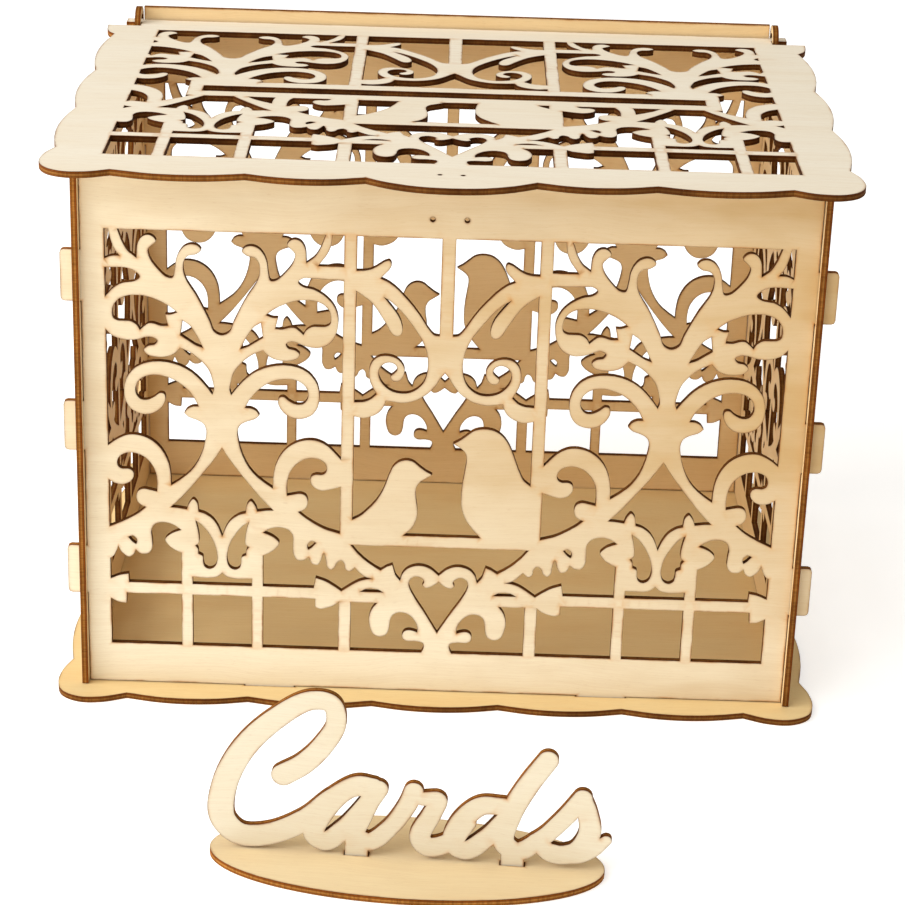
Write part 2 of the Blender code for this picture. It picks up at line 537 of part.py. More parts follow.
# ------------------------------------------------------------------ the sign
# The word as pen strokes: points along each stroke, heights from the table, then pen widths
# spread evenly over it.
LETTERS = [
    # C: hook end, over the top, down the back and out along the bottom into the a
    ([(-52.4, 33.2), (-45.3, 38), (-38.6, 45.6), (-34, 54.8), (-35.6, 62.4), (-43, 63.3),
      (-55, 55.4), (-66.8, 42.2), (-73.4, 27.2), (-74, 14.6), (-68, 8.3), (-57, 9),
      (-44, 16), (-35, 24.7), (-26, 30.9), (-20.5, 30.4)], [8.5, 7, 8.5, 9.5, 8.5, 7.5]),
    # a: bowl, then stem and link
    ([(-20.5, 30.4), (-29, 29), (-37.5, 20), (-41.3, 10.5), (-37.5, 7.4), (-30.5, 12.9),
      (-22, 24.2), (-18.6, 29.9)], [6.5, 8, 7.5, 7]),
    ([(-19.3, 29.9), (-24, 19.5), (-26.8, 11), (-21.5, 8.3), (-14.5, 14.3), (-8.5, 23.8),
      (-6.2, 29.9)], [7, 8, 6.5, 7]),
    # r
    ([(-7, 29.5), (-3.5, 27.3), (2.5, 27.1), (0.5, 21.4), (-3.6, 11.5), (-0.5, 7.8),
      (6.5, 10), (13, 18.6)], [5, 7, 8, 6.5]),
    # d: bowl, then the tall stem and the link into the s
    ([(25.5, 26.1), (17.5, 25.6), (10.5, 18.1), (8.4, 10), (12.6, 7.4), (20, 12.9), (27.5, 22.3)],
     [7, 8, 7.5, 7]),
    ([(40.3, 45.5), (33.8, 35.1), (28, 22.8), (26, 11.9), (31, 8.3), (39, 13.8), (47, 22.8),
      (53, 31.3)], [7.5, 8, 8, 6.5, 7]),
    # s: body, then the way out
    ([(53, 31.3), (55.2, 24.7), (56, 17.1), (51.5, 9.5), (43.5, 8.3), (37.5, 12.9)],
     [6.5, 8, 8, 6.5]),
    ([(41, 9.5), (50, 8), (57, 10.4), (62, 15)], [6.5, 7, 4]),
]


def stroke(points, widths):
    """Pieces of one pen stroke: short strips along the line and a round end at each tip."""
    line = smooth(points, CHORD / 4)
    steps = [math.dist(a, b) for a, b in zip(line, line[1:])]
    run = np.concatenate([[0], np.cumsum(steps)])
    half = np.interp(run, np.linspace(0, run[-1], len(widths)), widths) / 2
    sides = []
    for i, (x, y) in enumerate(line):
        before, after = line[max(i - 1, 0)], line[min(i + 1, len(line) - 1)]
        dx, dy = after[0] - before[0], after[1] - before[1]
        n = half[i] / math.hypot(dx, dy)
        sides.append(((x - dy * n, y + dx * n), (x + dy * n, y - dx * n)))
    strips = [[a[0], a[1], b[1], b[0]] for a, b in zip(sides, sides[1:])]
    return strips + [circle(*line[0], half[0]), circle(*line[-1], half[-1])]


def ease(loop):
    """Fewer points on a closed loop, within CHORD of it."""
    far = max(range(len(loop)), key=lambda i: math.dist(loop[0], loop[i]))
    return thin(loop[:far + 1], CHORD / 2)[:-1] + thin(loop[far:] + loop[:1], CHORD / 2)[:-1]


def word_sheet():
    """The word's strokes and the two tabs below them, joined into one piece."""
    body = [piece for points, widths in LETTERS for piece in stroke(points, widths)]
    body += [outline(rect(x - SIGN_TAB_LEN / 2, x + SIGN_TAB_LEN / 2, FOOT_END, 4 * T))
             for x in SIGN_TAB_X]
    loops = region(body, lambda p: any_inside(body, p))
    return [[(x + WORD_X, y) for x, y in ease(loop)] for loop in loops if len(loop) > 5]


def oval_sheet():
    oval = [(x * OVAL_HALF[0], y * OVAL_HALF[1]) for x, y in circle(0, 0, 1, CHORD / OVAL_HALF[0])]
    cuts = [outline(slot(x + WORD_X, 0, SIGN_TAB_LEN / 2, T / 2)) for x in SIGN_TAB_X]
    return cut([oval], cuts)


# ------------------------------------------------------------------ sheets made solid
def ply(name, colour, roughness):
    mat = bpy.data.materials.new(name)
    mat.use_nodes = True
    bsdf = mat.node_tree.nodes["Principled BSDF"]
    bsdf.inputs["Base Color"].default_value = (*colour, 1)
    bsdf.inputs["Roughness"].default_value = roughness
    bsdf.inputs["Metallic"].default_value = 0.0
    return mat


def sheet(name, loops, colour, low=0.0, at=(0, 0, 0), turn=(0, 0, 0), roughness=0.6):
    """Plywood cut to the loops: lies flat from z = low to low + T, then is turned and placed."""
    v, faces = triangulate(loops, even_odd(loops))
    bm = bmesh.new()
    used = {i: bm.verts.new((v[i][0] * MM, v[i][1] * MM, low * MM))
            for i in sorted(set(faces.ravel().tolist()))}
    for tri in faces.tolist():
        bm.faces.new([used[i] for i in tri])
    raised = bmesh.ops.extrude_face_region(bm, geom=bm.faces[:], use_keep_orig=True)
    top = [g for g in raised["geom"] if isinstance(g, bmesh.types.BMVert)]
    bmesh.ops.translate(bm, verts=top, vec=(0, 0, T * MM))
    bmesh.ops.recalc_face_normals(bm, faces=bm.faces[:])
    mesh = bpy.data.meshes.new(name)
    bm.to_mesh(mesh)
    bm.free()
    mesh.materials.append(ply(name + "_ply", colour, roughness))
    obj = bpy.data.objects.new(name, mesh)
    bpy.context.scene.collection.objects.link(obj)
    obj.location = [c * MM for c in at]
    obj.rotation_euler = [math.radians(a) for a in turn]
    return obj


def build():
    for obj in list(bpy.data.objects):
        bpy.data.objects.remove(obj)
    warm = (0.80, 0.63, 0.39)
    pale = (0.86, 0.75, 0.55)
    sheet("base_plate", base_sheet(), warm)
    sheet("front_wall", wall_sheet(False), pale, at=(0, T - WALL_Y, 0), turn=(90, 0, 0))
    sheet("back_wall", wall_sheet(True), warm, at=(0, WALL_Y, 0), turn=(90, 0, 0))
    sheet("left_wall", side_sheet(), warm, at=(-SIDE_X, 0, 0), turn=(90, 0, 90))
    sheet("right_wall", side_sheet(), warm, at=(SIDE_X - T, 0, 0), turn=(90, 0, 90))
    sheet("lid", lid_sheet(), pale, low=-T / 2, at=(0, HINGE_Y, HINGE_Z))
    sheet("sign_foot", oval_sheet(), warm, at=(SIGN_X, SIGN_Y, 0), turn=(0, 0, SIGN_TURN))
    sheet("sign_word", word_sheet(), pale, low=-T / 2, at=(SIGN_X, SIGN_Y, 0),
          turn=(90, 0, SIGN_TURN))


build()
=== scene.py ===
# Looks of the laser-cut plywood card box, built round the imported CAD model: every sheet is cut
# again with fine curves and eased rims, and gets wood grain, ply layers and laser scorch.
# Frame as in the CAD model: X right, Y back, Z up, origin under the base. Sheet outlines are in
# millimetres and become metres through MM.
import math

import bpy
import numpy as np
from mathutils import Euler, Matrix, Vector
from mathutils.geometry import delaunay_2d_cdt
from mathutils.kdtree import KDTree


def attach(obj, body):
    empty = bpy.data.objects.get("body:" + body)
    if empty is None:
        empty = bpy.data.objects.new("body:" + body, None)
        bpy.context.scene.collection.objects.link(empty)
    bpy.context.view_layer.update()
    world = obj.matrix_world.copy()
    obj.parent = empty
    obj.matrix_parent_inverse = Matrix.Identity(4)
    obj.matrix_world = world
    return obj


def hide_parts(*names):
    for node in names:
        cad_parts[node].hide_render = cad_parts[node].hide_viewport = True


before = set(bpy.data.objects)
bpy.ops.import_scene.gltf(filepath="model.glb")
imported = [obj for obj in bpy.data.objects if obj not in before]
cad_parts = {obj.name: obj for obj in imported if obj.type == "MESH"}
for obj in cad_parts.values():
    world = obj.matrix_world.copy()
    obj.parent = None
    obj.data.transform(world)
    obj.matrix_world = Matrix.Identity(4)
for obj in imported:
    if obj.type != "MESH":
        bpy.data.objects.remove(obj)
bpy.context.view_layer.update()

MM = 0.001
T = 2.5                      # plywood thickness
GAP = 0.3                    # clearance left between neighbouring sheets
TINY = 1e-9                  # lengths below this count as nothing
MERGE = 1e-4                 # outline points closer than this become one

# fine mesh of a sheet
CHORD = 0.05                 # how far a facet may stray from a curve
SPAN_STEPS = 12              # steps between two given points of a curve, before thinning
NO_LENGTH = 1e-6             # points closer than this have no direction between them
IN_LINE = 0.02               # a point this close to the way between its neighbours is dropped
CROWDED = 0.12               # least distance between two points of a cut
RIM = 0.09                   # width of the eased rim of a cut
RIM_TRIES = 8                # how often the rim may be halved where it would fold over
RINGS = (0.7, 1.8)           # distances from a cut where the scorch is sampled
RING_GAP = 0.6               # added to the spacing of those rings' points
RING_KEPT = 0.96             # share of its distance that a ring's point keeps from every cut
LEAST_NORMAL = 0.2           # these two limit how far a sharp corner moves inward
LEAST_COSINE = 0.45
CUT_STEP = 0.3               # spacing of the points that stand for a cut
SHARP = math.radians(50)     # turn that makes a sharp corner of a cut
FAR_AWAY = 1e6               # stands for a corner where a sheet has none
HEAT_REACH = 1.8             # how far the scorch round such a corner spreads
CREASE = math.radians(38)    # edges sharper than this aren't shaded smooth

# box body
SIDE_X = 140.4               # outer face of each side wall
WALL_Y = 105.8               # outer face of the front and back walls
SIDE_END = 109.3             # the side walls run past the front and back walls
WALL_FOOT = T + GAP          # lower edge of the walls
WALL_TOP = 217.5             # top edge of the walls
RAIL_TOP = 225.8             # the back wall goes on up between the hinge ears
RAIL_X = 137.2               # half length of that upper rail
WIN_X = 128.6                # half width of the front, back and lid windows
WIN_Z = 19.7                 # sill of the wall windows
WIN_H = 172.0                # height of the wall windows
SIDE_WIN_Y = 94.4            # half width of the side windows
TAB_LEN = 20.5               # side tabs of the front and back walls
TAB_OUT = 5.0                # how far those tabs stand out of the side walls
TAB_ROUND = 1.6              # radius of their outer corners
TAB_Z = (51.5, 112.2, 173.0)
FOOT_X = 66.0                # bottom tabs of the front and back walls
FOOT_Y = 50.0                # bottom tabs of the side walls
FOOT_LEN = 19.5
FOOT_END = 0.2               # the bottom tabs end just short of the base's underside
HASP_X = 6.4                 # pair of screw holes for a catch, above the front window
HASP_UP = 7.4
HASP_R = 0.95

# hinge: round ears on the side walls hold the lid's pivot tabs
LID_Z = WALL_TOP + GAP       # underside of the closed lid
HINGE_Y = 100.6
HINGE_Z = LID_Z + T / 2
EAR_R = 7.4
EAR_HOLE_R = 4.0
PIVOT_HALF = 3.3             # half width of the pivot tabs
PIVOT_END = 144.4

# lid
LID_REAR_Y = 102.4           # rear edge between the ears
LID_NOTCH_Y = 91.2           # rear edge outside the ears
LID_REAR_X = 151.6
LID_WIN_Y = -105.0           # front edge of the lid window
LID_SCALE = 1.10             # the lid carries the wall pattern a little larger
SLOT_Y = -9.0
SLOT_HALF = (100.6, 4.0)     # card slot, half length and half width
BAND_HALF = (106.6, 11.2)    # plain band around the slot
LID_PIN_X = 4.2              # pair of pin holes near the front edge
LID_PIN_Y = -118.8
LID_PIN_R = 0.8

# rims of the base and the lid: lobes between cusps
LOBE_SIDE_X = 147            # cusps along the sides of both
BASE_CUSP_Y = 115.5          # cusps along the front and back of the base
BASE_SWELL = 3.6             # how far a lobe swells out
LID_SWELL = 4.3
SIDE_SWELL = 3.2

# sign
SIGN_X, SIGN_Y = -8.2, -231.6
SIGN_TURN = -3.4             # degrees
OVAL_HALF = (70.4, 27.7)
WORD_X = 8.2                 # the word's own zero, from the middle of the foot
SIGN_TAB_X = (-26.0, 29.4)   # tabs under the a and the d
SIGN_TAB_LEN = 8.3

# colours as sRGB 0 to 255; a pair is the palest and the warmest tone of a face
INNER_FACE = ((240, 212, 164), (222, 182, 120))
# painted shade: the outer faces of the side walls are darker than their inner faces, to hold back
# the strong side softbox on the left wall
OUTER_FACE_PAINTED_SHADE = ((210, 192, 160), (196, 172, 134))
BASE_FACE = ((238, 214, 160), (226, 184, 118))
# the front's warmest tone is also its painted shade, reached to the right and towards the top
FRONT_FACE_LIT_AND_SHADED = ((236, 222, 192), (196, 162, 110))
# painted light: the lid's face is paler than the other sheets, standing in for the strong light on
# its top
LIT_LID_FACE = ((249, 241, 223), (237, 219, 187))
FOOT_FACE = ((236, 216, 174), (222, 190, 138))
WORD_FACE = ((228, 218, 194), (218, 202, 170))
FIBRE = (190, 144, 88)
PORE = (170, 124, 74)
SCORCH = (206, 146, 74)
FACE_CHAR = (104, 58, 24)
EDGE_STREAK = (86, 42, 8)
EDGE_CHAR = (46, 18, 2)
# plies of a cut edge from the lower face up, with dark glue lines between them
PLIES = [(0.0, (80, 44, 12)), (0.07, (142, 86, 30)), (0.25, (152, 92, 34)),
         (0.30, (76, 36, 8)), (0.35, (170, 112, 48)), (0.62, (178, 120, 56)),
         (0.68, (72, 34, 6)), (0.74, (142, 76, 20)), (0.92, (132, 68, 16)),
         (1.0, (68, 32, 6))]
CHAR_SPAN = (-120.0, -20.0)  # outer_char goes from its left to its right value over this stretch
SHADE_RISE_END = 110.0             # height on the sheet where the painted shade stops rising: the tone is painted darker upwards to here, as in the shade under the lid

# studio, in metres and watts: place, size and power of each round softbox
KEY_LIGHT = ((-1.3, -1.9, 1.9), 1.5, 24)
SIDE_LIGHT = ((-2.0, -0.6, 1.1), 1.6, 47)
LIGHT_AIM = (0, 0, 0.1)
SKY = (1, 0.965, 0.9, 1)
SKY_STRENGTH = 0.5
FLOOR_HALF = 30.0
FLOOR_DROP = 0.0002          # the floor lies this far below the base, so that they don't mix
FLOOR_GLOW = 0.5             # keeps the floor white where the softboxes fade

# camera: the photograph's view, in metres and radians
LENS = 105.65
SHIFT = (0.048, 0.012)
EYE = (-0.00007, -1.04558, 0.49968)
TURN, DOWN, ROLL = 0.0135, 0.4013, 0.0271


def K(x, z):
    """A sharp corner of an outline; plain pairs are passed through smoothly."""
    return (x, z, 1)


# ---------------- curves and outlines
def thin(points, tol):
    """Leave out the points that lie within tol of the chord between their neighbours."""
    if len(points) < 3:
        return points
    a, b = np.array(points[0]), np.array(points[-1])
    p = np.array(points[1:-1])
    d = b - a
    length = math.hypot(*d)
    if length < TINY:
        off = np.hypot(*(p - a).T)
    else:
        t = np.clip((p - a) @ d / length ** 2, 0, 1)
        off = np.hypot(*(p - a - t[:, None] * d).T)
    k = int(off.argmax())
    if off[k] <= tol:
        return [points[0], points[-1]]
    return thin(points[:k + 2], tol)[:-1] + thin(points[k + 1:], tol)


def smooth(run, tol):
    """Centripetal Catmull-Rom curve through the points of an open run."""
    if len(run) < 3:
        return list(run)
    p = [np.array(q, float) for q in run]
    p = [2 * p[0] - p[1]] + p + [2 * p[-1] - p[-2]]
    out = []
    for i in range(1, len(p) - 2):
        a, b, c, d = p[i - 1:i + 3]
        t0 = 0.0
        t1 = t0 + math.hypot(*(b - a)) ** 0.5
        t2 = t1 + math.hypot(*(c - b)) ** 0.5
        t3 = t2 + math.hypot(*(d - c)) ** 0.5
        for k in range(SPAN_STEPS):
            t = t1 + (t2 - t1) * k / SPAN_STEPS
            a1 = (t1 - t) / (t1 - t0) * a + (t - t0) / (t1 - t0) * b
            a2 = (t2 - t) / (t2 - t1) * b + (t - t1) / (t2 - t1) * c
            a3 = (t3 - t) / (t3 - t2) * c + (t - t2) / (t3 - t2) * d
            b1 = (t2 - t) / (t2 - t0) * a1 + (t - t0) / (t2 - t0) * a2
            b2 = (t3 - t) / (t3 - t1) * a2 + (t - t1) / (t3 - t1) * a3
            out.append(tuple((t2 - t) / (t2 - t1) * b1 + (t - t1) / (t2 - t1) * b2))
    out.append(tuple(p[-2]))
    return thin(out, tol)


def outline(points):
    """Closed polygon through the points: sharp at the corners K, smooth between them."""
    if all(len(q) == 2 for q in points):
        return points
    corners = [i for i, q in enumerate(points) if len(q) > 2]
    points = points[corners[0]:] + points[:corners[0]]
    points = points + points[:1]
    result, run = [], [points[0][:2]]
    for q in points[1:]:
        run.append(q[:2])
        if len(q) > 2:
            result += smooth(run, CHORD)[:-1]
            run = [q[:2]]
    return result


def mirror(points, x=0.0):
    return [(2 * x - q[0],) + tuple(q[1:]) for q in reversed(points)]


def mirrored(half):
    """Outline that is the same on both sides of x = 0; half runs from axis to axis or edge."""
    other = mirror(half)
    return half + [q for q in other if abs(q[0]) > TINY]


def moved(points, dx, dz=0.0, scale=1.0):
    return [(q[0] * scale + dx, q[1] * scale + dz) + tuple(q[2:]) for q in points]


def spread(points, wide, dx):
    """Stretch sideways only."""
    return [(q[0] * wide + dx,) + tuple(q[1:]) for q in points]


def rect(x0, x1, z0, z1):
    return [K(x0, z0), K(x1, z0), K(x1, z1), K(x0, z1)]


def circle(x, z, r, tol=CHORD / 3):
    n = max(8, math.ceil(math.pi / math.acos(1 - min(tol, r / 4) / r)))
    return [(x + r * math.cos(2 * math.pi * k / n), z + r * math.sin(2 * math.pi * k / n))
            for k in range(n)]


# ---------------- fretwork pattern
# One tree, drawn to one side of its own axis: first number outwards, second up from the sill.
# Everything below is an opening in the sheet.
TREE_X = 84.8                # axis of each tree from the middle of the front window
FRAME_U = WIN_X - TREE_X     # the tree's outer scrolls grow out of the window frame ...
POST_U = 45.8                # ... and the inner ones out of a full-height post

CROWN = [(0, 131.2), (2.9, 132.6), (4.4, 136.5), (7, 142), (9.7, 147.2), (13.2, 152.8),
         (14.3, 156.5), (14.1, 160), (12.6, 162.2), (9.6, 162.9), (7.6, 164.7), (8.8, 166.4),
         (11.3, 167), (13.9, 166), (15.8, 163.8), (17, 160.8), (17.5, 157), (18.4, 153.6),
         (20.6, 153.8), (24.5, 157.5), (26.9, 161.2), (27.4, 164.3), (26, 166), (24.4, 167.6),
         (25.4, 169.3), (27.3, 170.1), (29.6, 169.3), (31.3, 166.6), K(31.8, 161),
         (34.8, 163.4), (37, 167), K(38.8, 172)]
FORK = [K(0, 84.8), (3.4, 79.6), (6.6, 75.2), (9.8, 71), (13.5, 66.4), (17, 62.4), K(19.9, 59.5),
        (17.3, 59.4), K(13.7, 58.9), (13, 61), (11.2, 63.2), (9.7, 61.8), K(9.1, 58),
        (6.6, 57.2), (3.6, 55), (1.5, 51.8), K(0, 47.8)]
SCROLL_EYE = [K(16.8, 139.8), (19.2, 138.9), K(21.3, 138.9), K(20.3, 134.4), (22.9, 134.3),
              (25.5, 135.1), (27.6, 135.1), (29.2, 134), K(30.9, 132.4), (32, 134.3),
              (34.2, 135.7), (37, 135.9), (39.4, 136), (40.9, 137), (41.2, 139.3),
              (40.6, 142), (38.4, 144.6), (35.2, 145.9), (31.4, 146.2), (27, 145.5),
              (22.2, 143.6), (19, 141.6)]
LEAF_SLOT = [K(14.8, 136.6), (12.2, 134.8), (9.6, 131), K(7.1, 125.9), (10, 127),
             (13.5, 129.3), K(15.6, 130.7)]
# underside of the big scroll, its curled tail, the trunk, the middle scroll and the lowest one
LIMBS = [(26.4, 129.5), (24.4, 128.3), (25.3, 126.7), (28, 126), (29.6, 124.3), (28.2, 122.4),
         (25, 121.6), (21.2, 121.8), (18.2, 123), K(15.7, 125.5), (11.7, 123.7), (7.9, 120.6),
         (4.9, 116.8), (3.5, 112.5), (3.0, 109.2), K(3.6, 107.1), (5.7, 110), (8.7, 113.5),
         (12.6, 116.7), (17.6, 119), (23, 119.9), (28.5, 119.3), (33, 117), (36.2, 112.8),
         (37.3, 107.8), (36.6, 103), (34.3, 99.7), (30.5, 98.1), (26.4, 98.5), (23.2, 100.9),
         (21.5, 104.2), (21.9, 106.6), (23.6, 107), (25.7, 105.4), (28.4, 104.1), (31, 104.3),
         (32.6, 106.2), (32.9, 108.8), (31.7, 111.6), (29, 113.6), (25.2, 114.3), (21, 113.6),
         (17, 111.8), (13.4, 108.9), (10.6, 105.3), K(8.9, 102), (11, 101.9), (13.2, 100.8),
         K(14.4, 99), (12.6, 97.4), (9.6, 96.3), (7, 94.7), (6, 92), (6.4, 88), (7.6, 83.2),
         (9.6, 78.6), (12.6, 74.4), (16.2, 71.3), K(19.6, 68.9), (19.8, 73.5), (20.7, 78.6),
         (23.1, 83.6), (26.8, 87.3), (31.5, 89.3), (36.2, 89.4), (40.6, 87.3)]
CURL = [(41.6, 69), (38.4, 68.5), (35.6, 69.7), (34.1, 72), (34.4, 74.2), (36, 75.2),
        (38.5, 75.2), (40, 76.1), (40.4, 78.2), (39.5, 80.2), (37.3, 81.6), (34.2, 81.9),
        (30.9, 80.9), (27.9, 78.4), (25.8, 74.6), (25.1, 70), K(25.2, 66), (27.6, 66.5),
        (30.4, 67), (32.5, 66), (33.3, 63.8), (32.7, 61.2), (31.2, 59.8), K(29.6, 59.2),
        (32.2, 56.9), (36, 54.4), (40.3, 52.2)]
TEAR = [K(10.3, 54), (8.2, 52.6), (5.6, 49.4), (3.4, 45.4), (2.1, 41), (1.9, 37.6),
        (2.9, 34.7), (5, 33.6), (6.8, 34.5), (7.4, 36.6), (7.6, 39), K(9.3, 40),
        (9.4, 42), K(10.4, 43.4), (9.1, 44.6), (9, 47.4), (9.5, 50.6)]
SMILE = [K(0, 31.9), (2, 30.3), (5, 29.6), (8.3, 29.6), K(11.6, 29.8), K(11.6, 26.8)]
COMMA = [K(36.6, 46.2), (34.9, 46.8), (33.4, 45.4), (33.6, 43.4), (34.9, 44.2)]
LEAF = [K(16, 49.9), (18, 49.2), (20.5, 47.8), (22.3, 45.6), (20.6, 42.9), (18.2, 41.1),
        K(16, 40)]
DRIPS_OUT = [(42.4, 38), (41.4, 40), K(40.6, 42.2), (39.3, 39.6), (36.6, 37.7), (34.6, 38.8),
             K(33.8, 40.7), (31.8, 39.2), (28.8, 39.5), (27.3, 42), (27.3, 45.5), (27.6, 49),
             (26.5, 51.7), (24.2, 52.8), (21.2, 52.8), (18.4, 51.7)]
DRIPS_IN = [(55.8, 32.3), (53.2, 34.6), K(51.9, 36), (49.8, 34.4), (48.2, 35.4), (47.8, 37.6),
            (46.6, 38.9), (45, 38), (44, 35.8), (42.4, 34.9), (41, 36.2), (40.6, 38.8),
            (39.7, 41.8), (38.7, 39), (37.4, 36.8), (35.2, 37.2), K(33.8, 39.8), (31.9, 38.6),
            (29.4, 38.6), (27.8, 41.2), (27.6, 45), (27.6, 48.8), (26.2, 51), (24, 52.1),
            (21.2, 52.3), (18.4, 51.5)]


def tree_side(kind, edge):
    """Openings on one side of a tree that ends at a frame or at a post, `edge` from the axis."""
    holes = [SCROLL_EYE, LEAF_SLOT, TEAR, COMMA,
             [K(edge, 70.3)] + CURL + [K(edge, 50.6)]]
    if kind == 'frame':
        holes += [
            [K(edge, 172), K(42.3, 172), (41.2, 167.2), (39.8, 163.6), K(38.2, 161.6),
             (41.2, 161.5), K(edge, 160.4)],
            [K(edge, 156.8), (35.2, 156.8), (32, 155.3), (30.7, 153.4), (32.6, 151.8),
             (37.5, 150.8), (41, 148.6), K(edge, 145.3)],
            [K(edge, 132.1), (41.8, 129.9), (38.9, 128.6), (35.5, 128.1), (31.6, 128.5),
             (28.9, 129.4)] + LIMBS + [K(edge, 84.8)],
            [K(16, 0), K(edge, 0), K(edge, 19.4), (40.8, 17.9), K(37.8, 17.6), K(37.5, 22),
             K(16, 22)],
            LEAF + [K(16, 26.8), K(36.6, 26.8), K(36.8, 30.4), (40, 29.8), K(edge, 28.2),
                    K(edge, 36.9)] + DRIPS_OUT]
    else:
        holes += [
            [K(edge, 172), K(41.4, 172), (40.9, 168), (39.7, 164.9), (37.8, 162.1),
             K(36.2, 159.9), K(edge, 159.9)],
            [K(edge, 154.7), (36, 154.8), (30.5, 154.8), (28.8, 153.2), (30.6, 151.5),
             (34.5, 150.6), (39, 148), (42, 144.8), (43.7, 141), (44, 137), (43, 132.4),
             (40.6, 128.9), (36.5, 127.2), (31.6, 127.8), (28.6, 129)] + LIMBS
            + [K(edge, 81.8)],
            [K(16, 0), K(edge, 0), K(edge, 20.9), (44, 19.4), (41, 18.2), (38.5, 17.7),
             K(36.6, 18.5), K(36.5, 22), K(16, 22)],
            LEAF + [K(16, 26.8), K(35.9, 26.8), K(36.6, 31.2), (40.9, 29.7), (44, 27.8),
                    K(46.8, 25.8), (50.3, 28.4), (53.4, 30.3), (56.4, 31.3), K(58.8, 31.5)]
            + DRIPS_IN]
    return holes


def tree(x, left, right):
    """All the openings of one tree about x; left and right are (kind, distance to edge)."""
    holes = [moved(mirrored(CROWN), x), moved(mirrored(FORK), x), moved(mirrored(SMILE), x),
             moved(rect(-11.6, 11.6, 0, 22), x)]
    holes += [moved(h, x) for h in tree_side(*right)]
    holes += [moved(mirror(h), x) for h in tree_side(*left)]
    return holes


# middle of the front: a hanging double scroll, two birds on a perch, a heart below them
POST_X = TREE_X - POST_U - 4.8                   # inner edge of the posts
MID_TOP = [K(-POST_X, 172), K(-2.6, 172), K(-2.6, 133.6), (-4.6, 134), (-7, 136.7),
           (-9.5, 140.7), (-12.6, 145), (-15.8, 148.7), (-18.9, 151.9), (-22, 154.3),
           K(-25.2, 155.8), (-23.4, 157.8), (-21.8, 159.6), (-21.2, 161.4), (-22, 162.9),
           (-23.8, 162.5), (-26.2, 160.8), (-28.9, 159.3), (-31.5, 158.7), K(-POST_X, 158.6)]
MID_ARM = [K(-POST_X, 150.4), (-31.4, 148.6), (-28.9, 146.5), (-26.6, 143.8), (-24.4, 140.4),
           (-22.3, 137), (-21, 134.6), (-19.6, 133.2), (-17.9, 133.1), (-16.7, 134.4),
           (-16.6, 136.8), (-17.9, 140.6), (-20.4, 144.3), K(-23.8, 148.4), (-21.4, 146.9),
           (-18.6, 144.4), (-15.5, 141), (-12.6, 137.2), (-10.1, 133.4), (-8.2, 129.6),
           (-7, 125.8), (-6.6, 122), (-6.9, 118.2), (-8.1, 114.6), (-10.3, 112),
           (-13.4, 110.3), (-17, 110), (-20.6, 111), (-23.4, 113.4), (-25, 116.4),
           (-24.9, 119.6), (-23.2, 121.7), (-20.8, 122.3), (-18.8, 121.3), (-18.2, 119.5),
           (-19.3, 118), (-20.8, 116.6), (-19.9, 114.9), (-17.6, 114.8), (-15.8, 116.8),
           (-15.4, 119.7), (-16.5, 122.2), (-18.9, 124.3), (-22, 125.1), (-25, 124.7),
           (-27.3, 123), (-28.6, 120.4), (-28.9, 117.2), (-28.3, 114), (-27.2, 111.6),
           K(-25.9, 109.3), (-28.2, 107.1), (-31, 106), K(-POST_X, 105.8)]
MID_UNDER = [K(-POST_X, 99.9), (-31, 99.3), (-27.8, 100), (-25, 101.6), (-23.2, 103.8),
             K(-22.2, 106.6), (-18.6, 106.2), (-15, 106.1), (-11.6, 106.9), (-8.5, 108.5),
             (-5.6, 110.8), (-3.4, 113.6), (-1.7, 116.4)]
SMALL_BIRD = [K(-3.7, 76.6), (-6.2, 78), (-8.6, 79.8), (-11.2, 81.9), (-14, 82.5),
              (-16.6, 81.7), (-18.8, 79.6), (-20.3, 76.2), (-21.5, 72.4), (-23, 68.6),
              (-25.4, 64.6), (-28.3, 61.2), (-31.2, 58.4), K(-POST_X, 56.7)]
SMALL_BREAST = [K(-14.3, 50.6), (-11.8, 52.8), (-10, 55.7), (-9.1, 59.2), (-9.2, 63),
                (-9.8, 67), (-9.8, 70.6), (-8.6, 73.2), (-6.6, 74.7)]
BIG_BREAST = [K(15.6, 50.6), (12.6, 54), (9.6, 58.4), (8, 63), (7.7, 68), (8, 73.2),
              (8.7, 78.4), (9.3, 82.6), (9, 85.6), (7.4, 87.6)]
BIG_BIRD = [K(4, 89.9), (6.6, 91.4), (9, 93.4), (12, 95.6), (15.6, 96.4), (19.4, 95.8),
            (22.6, 93.8), (25.2, 90.4), (27.4, 85.4), (29.4, 79.8), (31.6, 75.4),
            K(POST_X, 73.2)]
BIRD_SKY = (MID_UNDER + [K(0, 118.6)] + mirror(MID_UNDER) + list(reversed(BIG_BIRD))
            + list(reversed(BIG_BREAST)) + SMALL_BREAST + SMALL_BIRD)
BELOW_PERCH = [K(0, 33.9), (-3, 36.5), (-6.2, 37.8), (-9.5, 37.7), (-12.6, 36.2),
               (-14.4, 33.8), K(-15.1, 31.2), (-16.9, 33.5), (-17.6, 35.8), K(-18.2, 37.9),
               (-20.4, 37), K(-22.8, 35.4), (-25.7, 37.1), (-28.9, 39.5), (-32, 42.5),
               K(-34.6, 45.8)]
HEART = [K(0, 31), (-1.6, 29.7), (-3.4, 28.6), (-5.2, 28.4), K(-6.3, 29.4), (-5.7, 31),
         (-6.9, 32.5), (-9, 33.1), (-10.9, 32), (-11.6, 29.8), (-11, 27.4), (-9, 23.6),
         (-6.2, 19.3), (-3.4, 14.6), K(0, 8.8)]
SLIT = [K(-30.6, 25.8), (-28.4, 26.9), (-26, 27.3), (-23.6, 26.9), K(-21.6, 25.8)]
